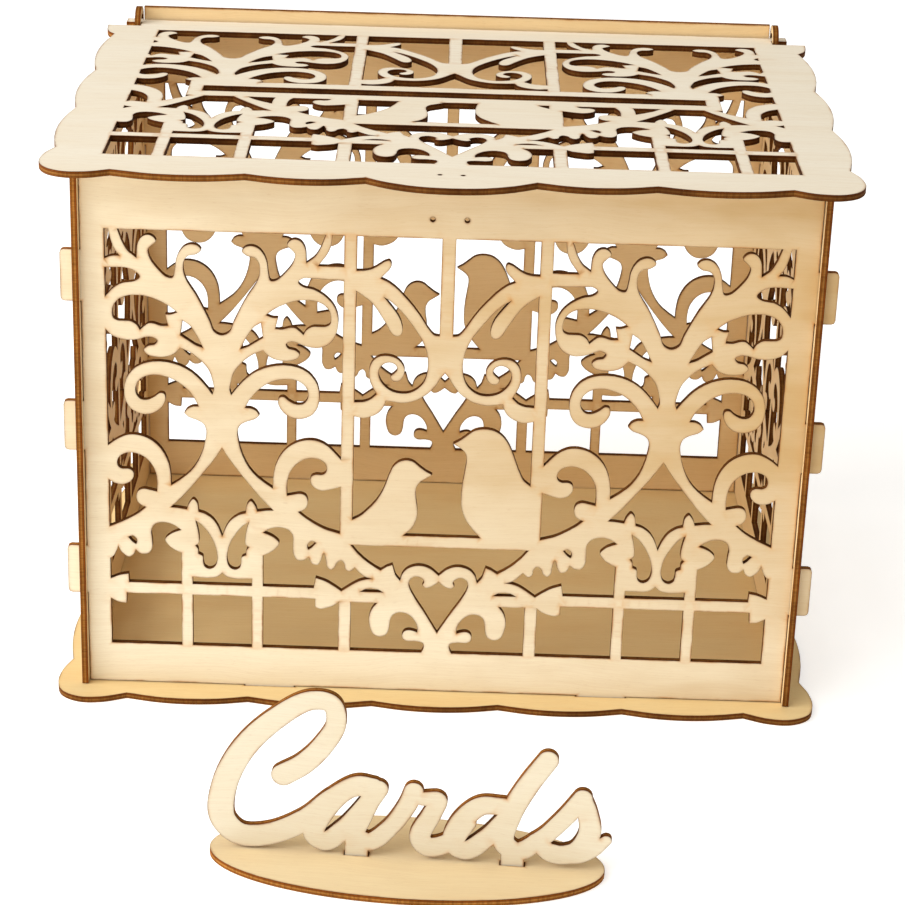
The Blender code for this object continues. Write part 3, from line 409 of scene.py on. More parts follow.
MID_WINDOW = [K(-POST_X, 0), K(-6, 0), (-5.1, 2), (-5.4, 4), (-8.2, 4.8), (-11.6, 4.7),
              (-13.3, 5.6), (-13.8, 7.3), (-13, 9), (-11.4, 9.7), (-9.5, 9.5), K(-7.8, 8.9),
              (-7.8, 11.2), (-8.9, 13.8), (-10.8, 16), (-13.3, 17.2), (-15.9, 17.1),
              (-17.8, 15.8), (-18.6, 13.6), (-18.9, 10.4), (-20, 7.4), (-22.6, 6.3),
              (-25.2, 7.5), (-26.7, 11), (-27, 14.6), (-26, 18.2), K(-24, 21),
              K(-POST_X, 21)]


def front_pattern():
    holes = tree(-TREE_X, ('frame', FRAME_U), ('post', POST_U))
    holes += [mirror(h) for h in tree(-TREE_X, ('frame', FRAME_U), ('post', POST_U))]
    for h in (MID_TOP, MID_ARM, SLIT, MID_WINDOW):
        holes += [h, mirror(h)]
    return holes + [BIRD_SKY, mirrored(BELOW_PERCH), mirrored(HEART)]


def side_pattern():
    """Two trees with a post between them, spread to the width of the side window."""
    half_post = 2.35
    wide = (SIDE_WIN_Y - half_post) / (2 * FRAME_U)
    holes = tree(FRAME_U, ('frame', FRAME_U), ('frame', FRAME_U))
    holes = [spread(h, wide, half_post) for h in holes]
    return holes + [mirror(h) for h in holes]


# ---------------- flat shapes
def inside(loop, p):
    x, y = p[:, 0], p[:, 1]
    hit = np.zeros(len(p), bool)
    a = np.array(loop)
    b = np.roll(a, -1, axis=0)
    for (x0, y0), (x1, y1) in zip(a, b):
        if y0 != y1:
            hit ^= ((y0 > y) != (y1 > y)) & (x < (x1 - x0) * (y - y0) / (y1 - y0) + x0)
    return hit


def any_inside(loops, p):
    hit = np.zeros(len(p), bool)
    for loop in loops:
        hit |= inside(loop, p)
    return hit


def even_odd(loops):
    """Test for points inside an odd number of the loops: sheet yes, openings no."""
    def solid(p):
        hit = np.zeros(len(p), bool)
        for loop in loops:
            hit ^= inside(loop, p)
        return hit
    return solid


def triangulate(loops, solid):
    """Triangles of the flat region that `solid` keeps, cut along all the given outlines."""
    verts, edges = [], []
    for loop in loops:
        n = len(verts)
        verts += [Vector(q[:2]) for q in loop]
        edges += [(n + i, n + (i + 1) % len(loop)) for i in range(len(loop))]
    v, _, faces = delaunay_2d_cdt(verts, edges, [], 0, MERGE)[:3]
    v = np.array([tuple(q) for q in v])
    faces = np.array([f for f in faces if len(f) == 3])
    faces = faces[solid(v[faces].mean(axis=1))]
    return v, faces


def borders(v, faces):
    """Closed border loops of a set of flat triangles."""
    edges = set()
    for a, b, c in faces.tolist():
        edges |= {(a, b), (b, c), (c, a)}
    follow = {a: b for a, b in edges if (b, a) not in edges}
    loops = []
    while follow:
        start, here = follow.popitem()
        loop = [start]
        while here != start:
            loop.append(here)
            here = follow.pop(here)
        loops.append([tuple(v[i]) for i in loop])
    return loops


def in_line(a, b, c):
    """True where b lies on the straight way from a to c."""
    dx, dy = c[0] - a[0], c[1] - a[1]
    length = math.hypot(dx, dy)
    if length < NO_LENGTH:
        return True
    return abs(dx * (b[1] - a[1]) - dy * (b[0] - a[0])) < IN_LINE * length


def straighten(loop):
    """Drop points that are in line with their neighbours, one at a time."""
    i = 0
    while i < len(loop):
        if in_line(loop[i - 1], loop[i], loop[(i + 1) % len(loop)]):
            del loop[i]
            i = max(i - 1, 0)
        else:
            i += 1
    return loop


def region(loops, solid):
    """Clean border loops of the region that `solid` keeps."""
    return [straighten(loop) for loop in borders(*triangulate(loops, solid))]


# ---------------- outlines of the sheets
def lobes(cusps, bulge):
    """A scalloped edge: a shallow lobe between each two cusps, swelling to the right of travel."""
    points = []
    for (x0, y0), (x1, y1) in zip(cusps, cusps[1:]):
        dx, dy = x1 - x0, y1 - y0
        n = bulge / math.hypot(dx, dy)
        points.append(K(x0, y0))
        for t in (0.25, 0.5, 0.75):
            swell = 4 * t * (1 - t) * n
            points.append((x0 + dx * t + dy * swell, y0 + dy * t - dx * swell))
    return points


def base_outline():
    """Five lobes along the front, three along each side, rounded corners; back like front."""
    front = lobes([(x, -BASE_CUSP_Y) for x in (-122, -74, -25, 25, 74, 122)], BASE_SWELL)
    corner = [K(122, -BASE_CUSP_Y), (131, -119.4), (140, -120), (147.5, -115.5), (150.3, -107),
              (149.8, -97)]
    side = lobes([(LOBE_SIDE_X, y) for y in (-87.5, -29, 29, 87.5)], SIDE_SWELL)
    back_corner = [K(LOBE_SIDE_X, 87.5)] + [(x, -y) for x, y in reversed(corner[1:])]
    half = corner + side + back_corner
    return front + half + [(-q[0], -q[1]) + tuple(q[2:]) for q in front + half]


def lid_outline():
    """A deep middle lobe in front, shallow lobes round the rim, ear notches and pivot tabs."""
    middle = [K(-31, -125), (-22, -130.6), (-11.5, -134.2), (0, -135.3), (11.5, -134.2),
              (22, -130.6)]
    front = lobes([(31, -125), (74.5, -125), (123.5, -124.4)], LID_SWELL)
    corner = [K(123.5, -124.4), (131, -128), (139.5, -128.7), (146.5, -125), (150.2, -117.5),
              (150, -107)]
    side = lobes([(LOBE_SIDE_X, y) for y in (-98, -43, 14.5, 75.3)], SIDE_SWELL)
    between_ears = SIDE_X - T - GAP
    rear = [K(LOBE_SIDE_X, 75.3), (149.6, 79), (151.1, 84.5), K(LID_REAR_X, LID_NOTCH_Y),
            K(between_ears, LID_NOTCH_Y), K(between_ears, HINGE_Y - PIVOT_HALF),
            K(PIVOT_END, HINGE_Y - PIVOT_HALF), K(PIVOT_END, HINGE_Y + PIVOT_HALF),
            K(between_ears, HINGE_Y + PIVOT_HALF), K(between_ears, LID_REAR_Y)]
    right = front + corner + side + rear
    return middle + right + mirror(right[1:])


def wall_tab(side, z):
    """Side tab of the front or back wall at height z, its outer corners rounded."""
    x0, x1, h = SIDE_X - 2 * T, SIDE_X + TAB_OUT, TAB_LEN / 2
    mid = TAB_ROUND * (1 - math.sqrt(0.5))
    upper = [K(x1, h - TAB_ROUND), (x1 - mid, h - mid), K(x1 - TAB_ROUND, h), K(x0, h)]
    lower = [(q[0], -q[1]) + tuple(q[2:]) for q in reversed(upper)]
    return [(side * q[0], z + q[1]) + tuple(q[2:]) for q in upper + lower]


def foot_tab(x):
    """Bottom tab of a wall, reaching through the base."""
    return rect(x - FOOT_LEN / 2, x + FOOT_LEN / 2, FOOT_END, WALL_FOOT + T)


def slot(x, y, half_x, half_y):
    """Slot for a tab, with clearance all round."""
    return rect(x - half_x - GAP, x + half_x + GAP, y - half_y - GAP, y + half_y + GAP)


def cut(body, cuts):
    """Border loops of the united body outlines, less the openings."""
    return region(body + cuts, lambda p: any_inside(body, p) & ~any_inside(cuts, p))


def wall_sheet(back):
    """Front or back wall with window pattern, tabs and, at the back, the rail."""
    half = SIDE_X - T - GAP
    body = [rect(-half, half, WALL_FOOT, WALL_TOP)]
    body += [wall_tab(side, z) for side in (-1, 1) for z in TAB_Z]
    body += [foot_tab(x) for x in (-FOOT_X, FOOT_X)]
    cuts = [moved(h, 0, WIN_Z) for h in front_pattern()]
    if back:
        body.append(rect(-RAIL_X, RAIL_X, WALL_TOP - T, RAIL_TOP))
    else:
        cuts += [circle(x, WIN_Z + WIN_H + HASP_UP, HASP_R) for x in (-HASP_X, HASP_X)]
    return cut([outline(b) for b in body], [outline(c) for c in cuts])


def side_sheet():
    """Side wall with its two trees, tab slots, and the ear that holds the lid's pivot."""
    body = [rect(-SIDE_END, SIDE_END, WALL_FOOT, WALL_TOP), foot_tab(-FOOT_Y), foot_tab(FOOT_Y)]
    body = [outline(b) for b in body] + [circle(HINGE_Y, HINGE_Z, EAR_R)]
    cuts = [outline(moved(h, 0, WIN_Z)) for h in side_pattern()]
    cuts.append(circle(HINGE_Y, HINGE_Z, EAR_HOLE_R))
    tab_y = WALL_Y - T / 2
    cuts += [outline(slot(y, z, T / 2, TAB_LEN / 2)) for y in (-tab_y, tab_y) for z in TAB_Z]
    return cut(body, cuts)


def base_sheet():
    """Floor with a slot for every bottom tab."""
    y, x = WALL_Y - T / 2, SIDE_X - T / 2
    cuts = []
    for sx in (-1, 1):
        for sy in (-1, 1):
            cuts.append(outline(slot(sx * FOOT_X, sy * y, FOOT_LEN / 2, T / 2)))
            cuts.append(outline(slot(sx * x, sy * FOOT_Y, T / 2, FOOT_LEN / 2)))
    return cut([outline(base_outline())], cuts)


def lid_sheet():
    """Lid with the enlarged pattern cropped by its window, and the card slot in its plain band."""
    body = outline(lid_outline())
    window = outline(rect(-WIN_X, WIN_X, LID_WIN_Y, LID_WIN_Y + WIN_H * LID_SCALE))
    band = outline(rect(-BAND_HALF[0], BAND_HALF[0], SLOT_Y - BAND_HALF[1],
                        SLOT_Y + BAND_HALF[1]))
    holes = [outline(moved(h, 0, LID_WIN_Y, LID_SCALE)) for h in front_pattern()]
    plain = [outline(rect(-SLOT_HALF[0], SLOT_HALF[0], SLOT_Y - SLOT_HALF[1],
                          SLOT_Y + SLOT_HALF[1]))]
    plain += [circle(x, LID_PIN_Y, LID_PIN_R) for x in (-LID_PIN_X, LID_PIN_X)]

    def solid(p):
        open_work = inside(window, p) & any_inside(holes, p) & ~inside(band, p)
        return inside(body, p) & ~open_work & ~any_inside(plain, p)
    loops = region([body, window, band] + holes + plain, solid)
    return [[(x, y - HINGE_Y) for x, y in loop] for loop in loops]


# ---------------- the sign
# The word as pen strokes: points along each stroke, heights from the table, then pen widths
# spread evenly over it.
LETTERS = [
    # C: hook end, over the top, down the back and out along the bottom into the a
    ([(-52.4, 33.2), (-45.3, 38), (-38.6, 45.6), (-34, 54.8), (-35.6, 62.4), (-43, 63.3),
      (-55, 55.4), (-66.8, 42.2), (-73.4, 27.2), (-74, 14.6), (-68, 8.3), (-57, 9),
      (-44, 16), (-35, 24.7), (-26, 30.9), (-20.5, 30.4)], [8.5, 7, 8.5, 9.5, 8.5, 7.5]),
    # a: bowl, then stem and link
    ([(-20.5, 30.4), (-29, 29), (-37.5, 20), (-41.3, 10.5), (-37.5, 7.4), (-30.5, 12.9),
      (-22, 24.2), (-18.6, 29.9)], [6.5, 8, 7.5, 7]),
    ([(-19.3, 29.9), (-24, 19.5), (-26.8, 11), (-21.5, 8.3), (-14.5, 14.3), (-8.5, 23.8),
      (-6.2, 29.9)], [7, 8, 6.5, 7]),
    # r
    ([(-7, 29.5), (-3.5, 27.3), (2.5, 27.1), (0.5, 21.4), (-3.6, 11.5), (-0.5, 7.8),
      (6.5, 10), (13, 18.6)], [5, 7, 8, 6.5]),
    # d: bowl, then the tall stem and the link into the s
    ([(25.5, 26.1), (17.5, 25.6), (10.5, 18.1), (8.4, 10), (12.6, 7.4), (20, 12.9), (27.5, 22.3)],
     [7, 8, 7.5, 7]),
    ([(40.3, 45.5), (33.8, 35.1), (28, 22.8), (26, 11.9), (31, 8.3), (39, 13.8), (47, 22.8),
      (53, 31.3)], [7.5, 8, 8, 6.5, 7]),
    # s: body, then the way out
    ([(53, 31.3), (55.2, 24.7), (56, 17.1), (51.5, 9.5), (43.5, 8.3), (37.5, 12.9)],
     [6.5, 8, 8, 6.5]),
    ([(41, 9.5), (50, 8), (57, 10.4), (62, 15)], [6.5, 7, 4]),
]


def stroke(points, widths):
    """Pieces of one pen stroke: short strips along the line and a round end at each tip."""
    line = smooth(points, CHORD / 4)
    steps = [math.dist(a, b) for a, b in zip(line, line[1:])]
    run = np.concatenate([[0], np.cumsum(steps)])
    half = np.interp(run, np.linspace(0, run[-1], len(widths)), widths) / 2
    sides = []
    for i, (x, y) in enumerate(line):
        before, after = line[max(i - 1, 0)], line[min(i + 1, len(line) - 1)]
        dx, dy = after[0] - before[0], after[1] - before[1]
        n = half[i] / math.hypot(dx, dy)
        sides.append(((x - dy * n, y + dx * n), (x + dy * n, y - dx * n)))
    strips = [[a[0], a[1], b[1], b[0]] for a, b in zip(sides, sides[1:])]
    return strips + [circle(*line[0], half[0]), circle(*line[-1], half[-1])]


def ease(loop):
    """Fewer points on a closed loop, within CHORD of it."""
    far = max(range(len(loop)), key=lambda i: math.dist(loop[0], loop[i]))
    return thin(loop[:far + 1], CHORD / 2)[:-1] + thin(loop[far:] + loop[:1], CHORD / 2)[:-1]


def word_sheet():
    """The word's strokes and the two tabs below them, joined into one piece."""
    body = [piece for points, widths in LETTERS for piece in stroke(points, widths)]
    body += [outline(rect(x - SIGN_TAB_LEN / 2, x + SIGN_TAB_LEN / 2, FOOT_END, 4 * T))
             for x in SIGN_TAB_X]
    loops = region(body, lambda p: any_inside(body, p))
    return [[(x + WORD_X, y) for x, y in ease(loop)] for loop in loops if len(loop) > 5]


def oval_sheet():
    oval = [(x * OVAL_HALF[0], y * OVAL_HALF[1]) for x, y in circle(0, 0, 1, CHORD / OVAL_HALF[0])]
    cuts = [outline(slot(x + WORD_X, 0, SIGN_TAB_LEN / 2, T / 2)) for x in SIGN_TAB_X]
    return cut([oval], cuts)


# ---------------- meshes of the sheets
def spaced(loop, step):
    """Points along a closed loop, no further apart than step."""
    points = []
    for (x0, y0), (x1, y1) in zip(loop, loop[1:] + loop[:1]):
        n = max(1, math.ceil(math.hypot(x1 - x0, y1 - y0) / step))
        points += [(x0 + (x1 - x0) * k / n, y0 + (y1 - y0) * k / n) for k in range(n)]
    return points


def inward(loop, step):
    """The loop shifted by step into the sheet, which lies on its left."""
    p = np.array(loop)
    before, after = p - np.roll(p, 1, axis=0), np.roll(p, -1, axis=0) - p
    before /= np.hypot(*before.T)[:, None]
    after /= np.hypot(*after.T)[:, None]
    normal = np.stack([-(before + after)[:, 1], (before + after)[:, 0]], axis=1)
    normal /= np.maximum(np.hypot(*normal.T), LEAST_NORMAL)[:, None]
    cosine = normal[:, 1] * after[:, 0] - normal[:, 0] * after[:, 1]
    cosine = np.maximum(cosine, LEAST_COSINE)
    return p + normal * (step / cosine)[:, None]


def eased(loop):
    """Inner edge of the rim: the loop moved in by RIM, less wherever a short side would flip."""
    p = np.array(loop)
    full = inward(loop, RIM) - p
    share = np.ones(len(p))
    for _ in range(RIM_TRIES):
        q = p + full * share[:, None]
        flips = ((np.roll(q, -1, axis=0) - q) * (np.roll(p, -1, axis=0) - p)).sum(axis=1) <= 0
        if not flips.any():
            break
        share[flips | np.roll(flips, 1)] *= 0.5
    return [tuple(c) for c in p + full * share[:, None]]


def clean(loop):
    """Drop points that crowd their neighbour."""
    kept = []
    for q in loop:
        if not kept or math.dist(q, kept[-1]) > CROWDED:
            kept.append(q)
    while math.dist(kept[0], kept[-1]) <= CROWDED:
        kept.pop()
    return kept


def area(loop):
    return sum(a[0] * b[1] - b[0] * a[1] for a, b in zip(loop, loop[1:] + loop[:1])) / 2


def nearest(points):
    """Function giving the distance in millimetres from a place to the nearest of the points."""
    tree = KDTree(len(points))
    for i, (x, y) in enumerate(points):
        tree.insert((x, y, 0), i)
    tree.balance()
    return lambda p: tree.find((p[0], p[1], 0))[2]


def sharp_corners(loops):
    """Points where a cut turns sharply, so that the laser lingers and scorches the face."""
    corners = []
    for loop in loops:
        for a, b, c in zip(loop[-1:] + loop[:-1], loop, loop[1:] + loop[:1]):
            before, after = Vector(b) - Vector(a), Vector(c) - Vector(b)
            if before.angle(after) > SHARP:
                corners.append(b)
    return corners


def sheet_mesh(name, loops, low, place):
    """Closed mesh of a sheet, moved by the matrix place: two faces, eased rims and cut walls.

    Material 1 is the cut edge. Attributes keep each point's position on the flat sheet, its
    distance from the nearest cut, how near a sharp corner is, and whether the point is on the
    wall of an opening.
    """
    loops = [clean(loop) for loop in loops]
    cut_distance = nearest([q for loop in loops for q in spaced(loop, CUT_STEP)])
    corner_distance = nearest(sharp_corners(loops) or [(FAR_AWAY, FAR_AWAY)])
    rims = [eased(loop) for loop in loops]
    ring_points = []
    for step in RINGS:
        for loop in loops:
            for q in inward(spaced(loop, 2 * step + RING_GAP), step).tolist():
                if cut_distance(q) > RING_KEPT * step:
                    ring_points.append(tuple(q))
    flat = [q for rim in rims for q in rim]
    edges = []
    start = 0
    for rim in rims:
        n = len(rim)
        edges += [(start + i, start + (i + 1) % n) for i in range(n)]
        start += n
    points = [Vector(q) for q in flat + ring_points]
    v, _, faces, origin = delaunay_2d_cdt(points, edges, [], 0, NO_LENGTH)[:4]
    where = {o: i for i, group in enumerate(origin) for o in group}
    v = np.array([tuple(q) for q in v])
    faces = np.array([f for f in faces if len(f) == 3])
    faces = faces[even_odd(rims)(v[faces].mean(axis=1))]
    used = sorted(set(faces.ravel().tolist()))
    index = {old: new for new, old in enumerate(used)}
    n_flat = len(used)
    verts = [(v[i][0], v[i][1], low + T) for i in used] + [(v[i][0], v[i][1], low) for i in used]
    distance = [min(cut_distance(v[i]), RINGS[-1]) for i in used] * 2
    heat = [max(0.0, 1 - corner_distance(v[i]) / HEAT_REACH) for i in used] * 2
    tris = [[index[i] for i in f] for f in faces.tolist()]
    polys = tris + [[n_flat + i for i in reversed(f)] for f in tris]
    slots = [0] * len(polys)
    inner_cut = [0.0] * len(verts)
    start = 0
    for loop, rim in zip(loops, rims):
        n = len(loop)
        is_hole = float(area(loop) < 0)
        top = [index[where[start + i]] for i in range(n)]
        rows = [top]
        for z in (low + T - RIM, low + RIM):
            rows.append(list(range(len(verts), len(verts) + n)))
            verts += [(x, y, z) for x, y in loop]
            distance += [0.0] * n
            inner_cut += [is_hole] * n
            heat += [heat[i] for i in top]
        rows.append([n_flat + i for i in top])
        for i in top:
            inner_cut[i] = inner_cut[n_flat + i] = is_hole
        for upper, lower in zip(rows, rows[1:]):
            for i in range(n):
                j = (i + 1) % n
                polys.append([upper[i], lower[i], lower[j], upper[j]])
                slots.append(1)
        start += n
    mesh = bpy.data.meshes.new(name)
    mesh.from_pydata([place @ (Vector(q) * MM) for q in verts], [], polys)
    mesh.polygons.foreach_set("material_index", slots)
    on_sheet = mesh.attributes.new("on_sheet", "FLOAT_VECTOR", "POINT")
    on_sheet.data.foreach_set("vector", np.array(verts).ravel())
    for key, values in (("cut_distance", distance), ("inner_cut", inner_cut),
                        ("corner_heat", heat)):
        mesh.attributes.new(key, "FLOAT", "POINT").data.foreach_set("value", values)
    mesh.validate()
    mesh.shade_smooth()
    mesh.set_sharp_from_angle(angle=CREASE)
    return mesh


# ---------------- materials
class Nodes:
    """Short way to build a node tree: each call adds a node and returns its first output."""

    def __init__(self, name):
        self.material = bpy.data.materials.new(name)
        self.material.use_nodes = True
        self.tree = self.material.node_tree
        self.shader = self.tree.nodes["Principled BSDF"]

    def add(self, kind, inputs, output=0, **settings):
        node = self.tree.nodes.new("ShaderNode" + kind)
        for key, value in settings.items():
            setattr(node, key, value)
        for key, value in inputs.items():
            self.set(node.inputs[key], value)
        return node.outputs[output]

    def set(self, socket, value):
        if isinstance(value, bpy.types.NodeSocket):
            self.tree.links.new(value, socket)
        else:
            socket.default_value = value

    def math(self, operation, a, b=0.0, clamp=False):
        return self.add("Math", {0: a, 1: b}, operation=operation, use_clamp=clamp)

    def noise(self, vector, scale=1.0, detail=2.0, roughness=0.5):
        return self.add("TexNoise", {"Vector": vector, "Scale": scale, "Detail": detail,
                                     "Roughness": roughness})

    def stretch(self, vector, x, y, z):
        return self.add("VectorMath", {0: vector, 1: (x, y, z)}, operation="MULTIPLY")

    def between(self, value, low, high, to_low=0.0, to_high=1.0):
        return self.add("MapRange", {"Value": value, "From Min": low, "From Max": high,
                                     "To Min": to_low, "To Max": to_high},
                        interpolation_type="SMOOTHSTEP")

    def mix(self, factor, a, b):
        node = self.tree.nodes.new("ShaderNodeMix")
        node.data_type = "RGBA"
        self.set(node.inputs["Factor"], factor)
        self.set(node.inputs["A"], a)
        self.set(node.inputs["B"], b)
        return next(s for s in node.outputs if s.type == "RGBA")

    def millimetres(self, seed):
        """Position on the sheet itself in millimetres, shifted so that no two sheets match."""
        return self.add("VectorMath", {0: self.attribute("on_sheet", "Vector"),
                                       1: (seed * 411.0, seed * 173.0, seed * 37.0)},
                        operation="ADD")

    def attribute(self, name, output="Fac"):
        return self.add("Attribute", {}, output=output, attribute_name=name)

    def bump(self, height, strength, depth):
        normal = self.add("Bump", {"Height": height, "Strength": strength,
                                   "Distance": depth * MM})
        self.tree.links.new(normal, self.shader.inputs["Normal"])


def colour(red, green, blue):
    """Linear colour of an sRGB value given as 0 to 255."""
    return (*[(c / 255 / 12.92) if c <= 10 else ((c / 255 + 0.055) / 1.055) ** 2.4
              for c in (red, green, blue)], 1.0)


def veneer(name, seed, pale, warm, under, middle, painted_shade_tilt, painted_shade_rise):
    """Face of the plywood: fine lengthwise fibres, short pores, soft clouds, scorch at the cuts.

    The tone is painted: it gets darker and warmer to the right by tilt per millimetre, as painted
    shade for light that comes from the left, and shifts from rise[0] at the sheet's lower edge,
    painted lighter where light comes up from the floor, to rise[1] from its middle up, painted
    darker as in the lid's shade. The face below the height `middle` has the pale and warm colours
    of `under`.
    """
    n = Nodes(name + "_veneer")
    place = n.millimetres(seed)
    drift = n.math("MULTIPLY", n.math("SUBTRACT", n.noise(place, 0.012, 2.0), 0.5), 16.0)
    bent = n.add("VectorMath", {0: place, 1: n.add("CombineXYZ", {"Y": drift})}, operation="ADD")
    fibre = n.noise(n.stretch(bent, 0.05, 1.9, 0.2), 1.0, 4.0, 0.6)
    pores = n.noise(n.stretch(bent, 0.3, 3.6, 0.5), 1.0, 2.0, 0.5)
    bands = n.noise(n.stretch(bent, 0.004, 0.07, 0.02), 1.0, 3.0, 0.5)
    clouds = n.noise(n.stretch(place, 0.014, 0.035, 0.02), 1.0, 3.0, 0.6)
    tone = n.math("ADD", n.between(bands, 0.32, 0.68, 0.05, 0.2),
                  n.between(clouds, 0.4, 0.72, 0.08, 0.32))
    at = n.add("SeparateXYZ", {0: n.attribute("on_sheet", "Vector")}).node
    upper = n.math("GREATER_THAN", at.outputs["Z"], middle)
    pale = n.mix(upper, colour(*under[0]), colour(*pale))
    warm = n.mix(upper, colour(*under[1]), colour(*warm))
    # painted shade and light on the front wall: darker to the right, away from the left light;
    # paler at the lower edge, darker from the middle up under the lid
    tone = n.math("ADD", tone, n.math("MULTIPLY", at.outputs["X"], painted_shade_tilt))
    tone = n.math("ADD", tone, n.between(at.outputs["Y"], 0.0, SHADE_RISE_END, *painted_shade_rise), clamp=True)
    wood = n.mix(tone, pale, warm)
    wood = n.mix(n.between(fibre, 0.3, 0.75, 0.0, 0.13), wood, colour(*FIBRE))
    pore_share = n.between(pores, 0.6, 0.74, 0.0, 0.16)
    wood = n.mix(pore_share, wood, colour(*PORE))
    near = n.between(n.attribute("cut_distance"), 0.0, RINGS[-1], 1.0, 0.0)
    smoke = n.noise(place, 0.09, 3.0, 0.6)
    haze = n.math("MULTIPLY", n.math("POWER", near, 1.4), n.between(smoke, 0.42, 0.68, 0.05, 0.35))
    burnt = n.math("MULTIPLY", n.attribute("corner_heat"),
                   n.between(smoke, 0.35, 0.62, 0.1, 0.65))
    haze = n.math("ADD", haze, burnt, clamp=True)
    wood = n.mix(haze, wood, colour(*SCORCH))
    char = n.math("MULTIPLY", n.math("POWER", near, 6.0), n.between(smoke, 0.3, 0.7, 0.2, 0.7))
    wood = n.mix(char, wood, colour(*FACE_CHAR))
    n.set(n.shader.inputs["Base Color"], wood)
    n.set(n.shader.inputs["Roughness"], n.between(fibre, 0.2, 0.8, 0.5, 0.66))
    n.shader.inputs["Specular IOR Level"].default_value = 0.3
    relief = n.math("SUBTRACT", fibre, n.math("MULTIPLY", pore_share, 1.5))
    n.bump(relief, 0.35, 0.06)
    return n.material


def cut_edge(name, seed, low, outer_char, inner_char):
    """Laser-cut edge: two face plies and a core with dark glue lines, streaked and charred."""
    n = Nodes(name + "_edge")
    place = n.millimetres(seed)
    depth = n.add("SeparateXYZ", {0: n.attribute("on_sheet", "Vector")}, output="Z")
    depth = n.math("DIVIDE", n.math("SUBTRACT", depth, low), T)
    wobble = n.math("MULTIPLY", n.math("SUBTRACT", n.noise(place, 0.12, 2.0), 0.5), 0.1)
    depth = n.math("ADD", depth, wobble)
    ramp_node = n.tree.nodes.new("ShaderNodeValToRGB")
    ramp = ramp_node.color_ramp
    while len(ramp.elements) < len(PLIES):
        ramp.elements.new(0.5)
    for element, (position, shade) in zip(ramp.elements, PLIES):
        element.position = position
        element.color = colour(*shade)
    n.tree.links.new(depth, ramp_node.inputs["Fac"])
    streaks = n.noise(n.stretch(place, 1.3, 1.3, 0.12), 1.0, 3.0, 0.65)
    patches = n.noise(place, 0.05, 3.0, 0.6)
    wood = n.mix(n.between(streaks, 0.35, 0.7, 0.0, 0.5), ramp_node.outputs["Color"],
                 colour(*EDGE_STREAK))
    across = n.add("SeparateXYZ", {0: n.attribute("on_sheet", "Vector")}, output="X")
    outer = n.between(across, *CHAR_SPAN, *outer_char)
    char = n.between(n.attribute("inner_cut"), 0.0, 1.0, outer, inner_char)
    char = n.math("ADD", char, n.between(patches, 0.3, 0.7, -0.14, 0.14), clamp=True)
    wood = n.mix(char, wood, colour(*EDGE_CHAR))
    n.set(n.shader.inputs["Base Color"], wood)
    n.shader.inputs["Roughness"].default_value = 0.78
    n.shader.inputs["Specular IOR Level"].default_value = 0.06
    n.bump(streaks, 0.5, 0.12)
    return n.material


# ---------------- the pieces
def sheet(name, loops, body, seed, face, under=None, low=0.0, at=(0, 0, 0), turn=(0, 0, 0),
          painted_shade_tilt=0.0, painted_shade_rise=(0.0, 0.0), outer_char=(0.2, 0.2), inner_char=0.68):
    """A sheet that takes the place of the CAD node of the same name.

    It is made lying flat, its lower face at height low, then turned (degrees) and moved (mm).
    face and under are the colours of its upper and lower face as it lies flat. outer_char is
    how burnt the outline is, at the left and at the right; inner_char that of the openings.
    """
    place = (Matrix.Translation([c * MM for c in at])
             @ Euler([math.radians(a) for a in turn]).to_matrix().to_4x4())
    mesh = sheet_mesh(name + "_fine", loops, low, place)
    mesh.materials.append(veneer(name, seed, *face, under or face, low + T / 2, painted_shade_tilt, painted_shade_rise))
    mesh.materials.append(cut_edge(name, seed, low, outer_char, inner_char))
    obj = bpy.data.objects.new(name + "_fine", mesh)
    bpy.context.scene.collection.objects.link(obj)
    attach(obj, body)
    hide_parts(name)


def box_and_sign():
    sheet("base_plate", base_sheet(), "box", 1, BASE_FACE, outer_char=(0.45, 0.6))
    # the front wall is painted darker to the right and towards its top as painted shade, and paler
    # at its foot as painted light
    sheet("front_wall", wall_sheet(False), "box", 2, FRONT_FACE_LIT_AND_SHADED, INNER_FACE,
          at=(0, T - WALL_Y, 0), turn=(90, 0, 0), painted_shade_tilt=0.0022, painted_shade_rise=(-0.3, 0.3))
    sheet("back_wall", wall_sheet(True), "box", 3, INNER_FACE, at=(0, WALL_Y, 0),
          turn=(90, 0, 0))
    # the side walls' outer faces take the darker, painted-shade colour
    sheet("left_wall", side_sheet(), "box", 4, INNER_FACE, OUTER_FACE_PAINTED_SHADE, at=(-SIDE_X, 0, 0),
          turn=(90, 0, 90))
    sheet("right_wall", side_sheet(), "box", 5, OUTER_FACE_PAINTED_SHADE, INNER_FACE,
          at=(SIDE_X - T, 0, 0), turn=(90, 0, 90), outer_char=(0.35, 0.35))
    # the lid takes the paler, painted-light colour
    sheet("lid", lid_sheet(), "lid", 6, LIT_LID_FACE, low=-T / 2, at=(0, HINGE_Y, HINGE_Z),
          outer_char=(0.25, 0.68), inner_char=0.8)
    sheet("sign_foot", oval_sheet(), "sign", 7, FOOT_FACE, at=(SIGN_X, SIGN_Y, 0),
          turn=(0, 0, SIGN_TURN), outer_char=(0.08, 0.08))
    sheet("sign_word", word_sheet(), "sign", 8, WORD_FACE, low=-T / 2,
          at=(SIGN_X, SIGN_Y, 0), turn=(90, 0, SIGN_TURN))


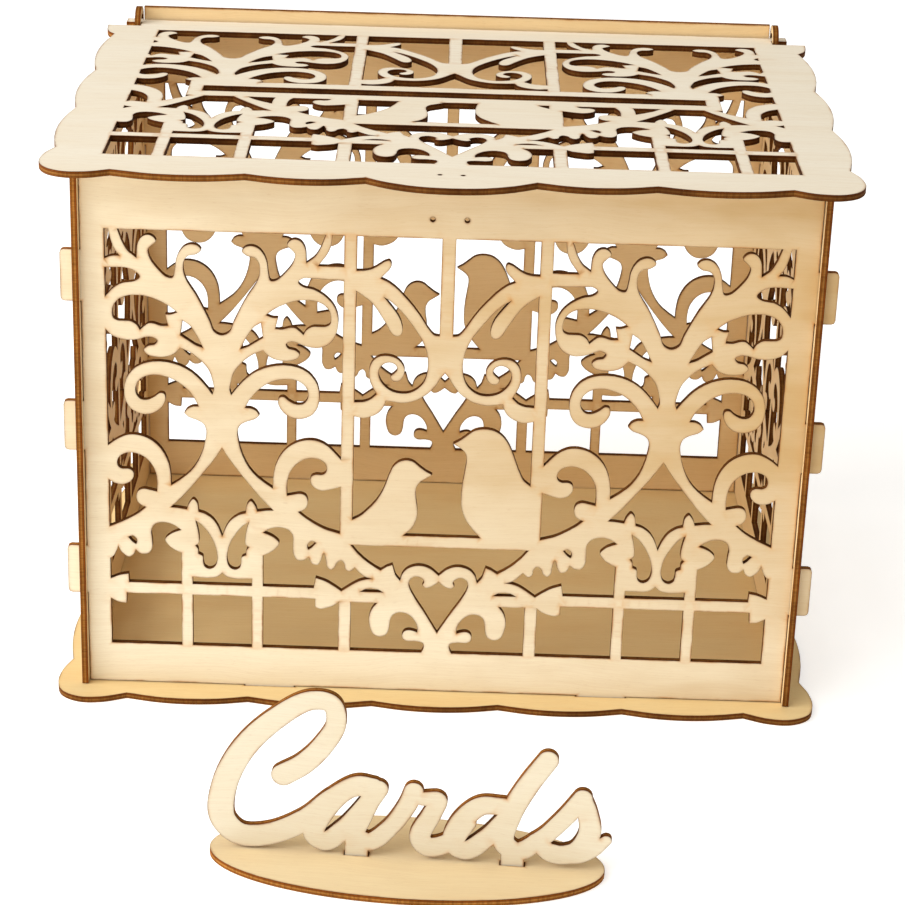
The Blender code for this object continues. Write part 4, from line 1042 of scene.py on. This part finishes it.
# ---------------- studio
def floor():
    mesh = bpy.data.meshes.new("floor")
    mesh.from_pydata([(x * FLOOR_HALF, y * FLOOR_HALF, 0)
                      for x, y in ((-1, -1), (1, -1), (1, 1), (-1, 1))], [], [(0, 1, 2, 3)])
    n = Nodes("floor_white")
    n.shader.inputs["Base Color"].default_value = (0.9, 0.9, 0.9, 1)
    n.shader.inputs["Emission Color"].default_value = (1, 1, 1, 1)
    n.shader.inputs["Emission Strength"].default_value = FLOOR_GLOW
    n.shader.inputs["Roughness"].default_value = 0.9
    n.shader.inputs["Specular IOR Level"].default_value = 0.0
    mesh.materials.append(n.material)
    obj = bpy.data.objects.new("floor", mesh)
    bpy.context.scene.collection.objects.link(obj)
    obj.location.z = -FLOOR_DROP


def softbox(name, place, size, power):
    """Round soft light pointed at the box; the camera doesn't see it."""
    light = bpy.data.lights.new(name, "AREA")
    light.shape = "DISK"
    light.size = size
    light.energy = power
    obj = bpy.data.objects.new(name, light)
    obj.visible_camera = False
    bpy.context.scene.collection.objects.link(obj)
    obj.location = place
    obj.rotation_euler = (Vector(LIGHT_AIM) - Vector(place)).to_track_quat("-Z", "Y").to_euler()


def studio():
    floor()
    softbox("key", *KEY_LIGHT)
    softbox("side", *SIDE_LIGHT)
    world = bpy.data.worlds.new("studio")
    bpy.context.scene.world = world
    world.use_nodes = True
    sky = world.node_tree.nodes["Background"]
    sky.inputs["Color"].default_value = SKY
    sky.inputs["Strength"].default_value = SKY_STRENGTH
    bpy.context.scene.view_settings.view_transform = "Standard"


def camera():
    data = bpy.data.cameras.new("camera")
    data.sensor_width = 36.0
    data.lens = LENS
    data.shift_x, data.shift_y = SHIFT
    obj = bpy.data.objects.new("camera", data)
    bpy.context.scene.collection.objects.link(obj)
    turn = (Matrix.Rotation(TURN, 4, "Z") @ Matrix.Rotation(math.pi / 2 - DOWN, 4, "X")
            @ Matrix.Rotation(ROLL, 4, "Z"))
    obj.matrix_world = Matrix.Translation(EYE) @ turn
    bpy.context.scene.camera = obj


camera()
studio()
box_and_sign()
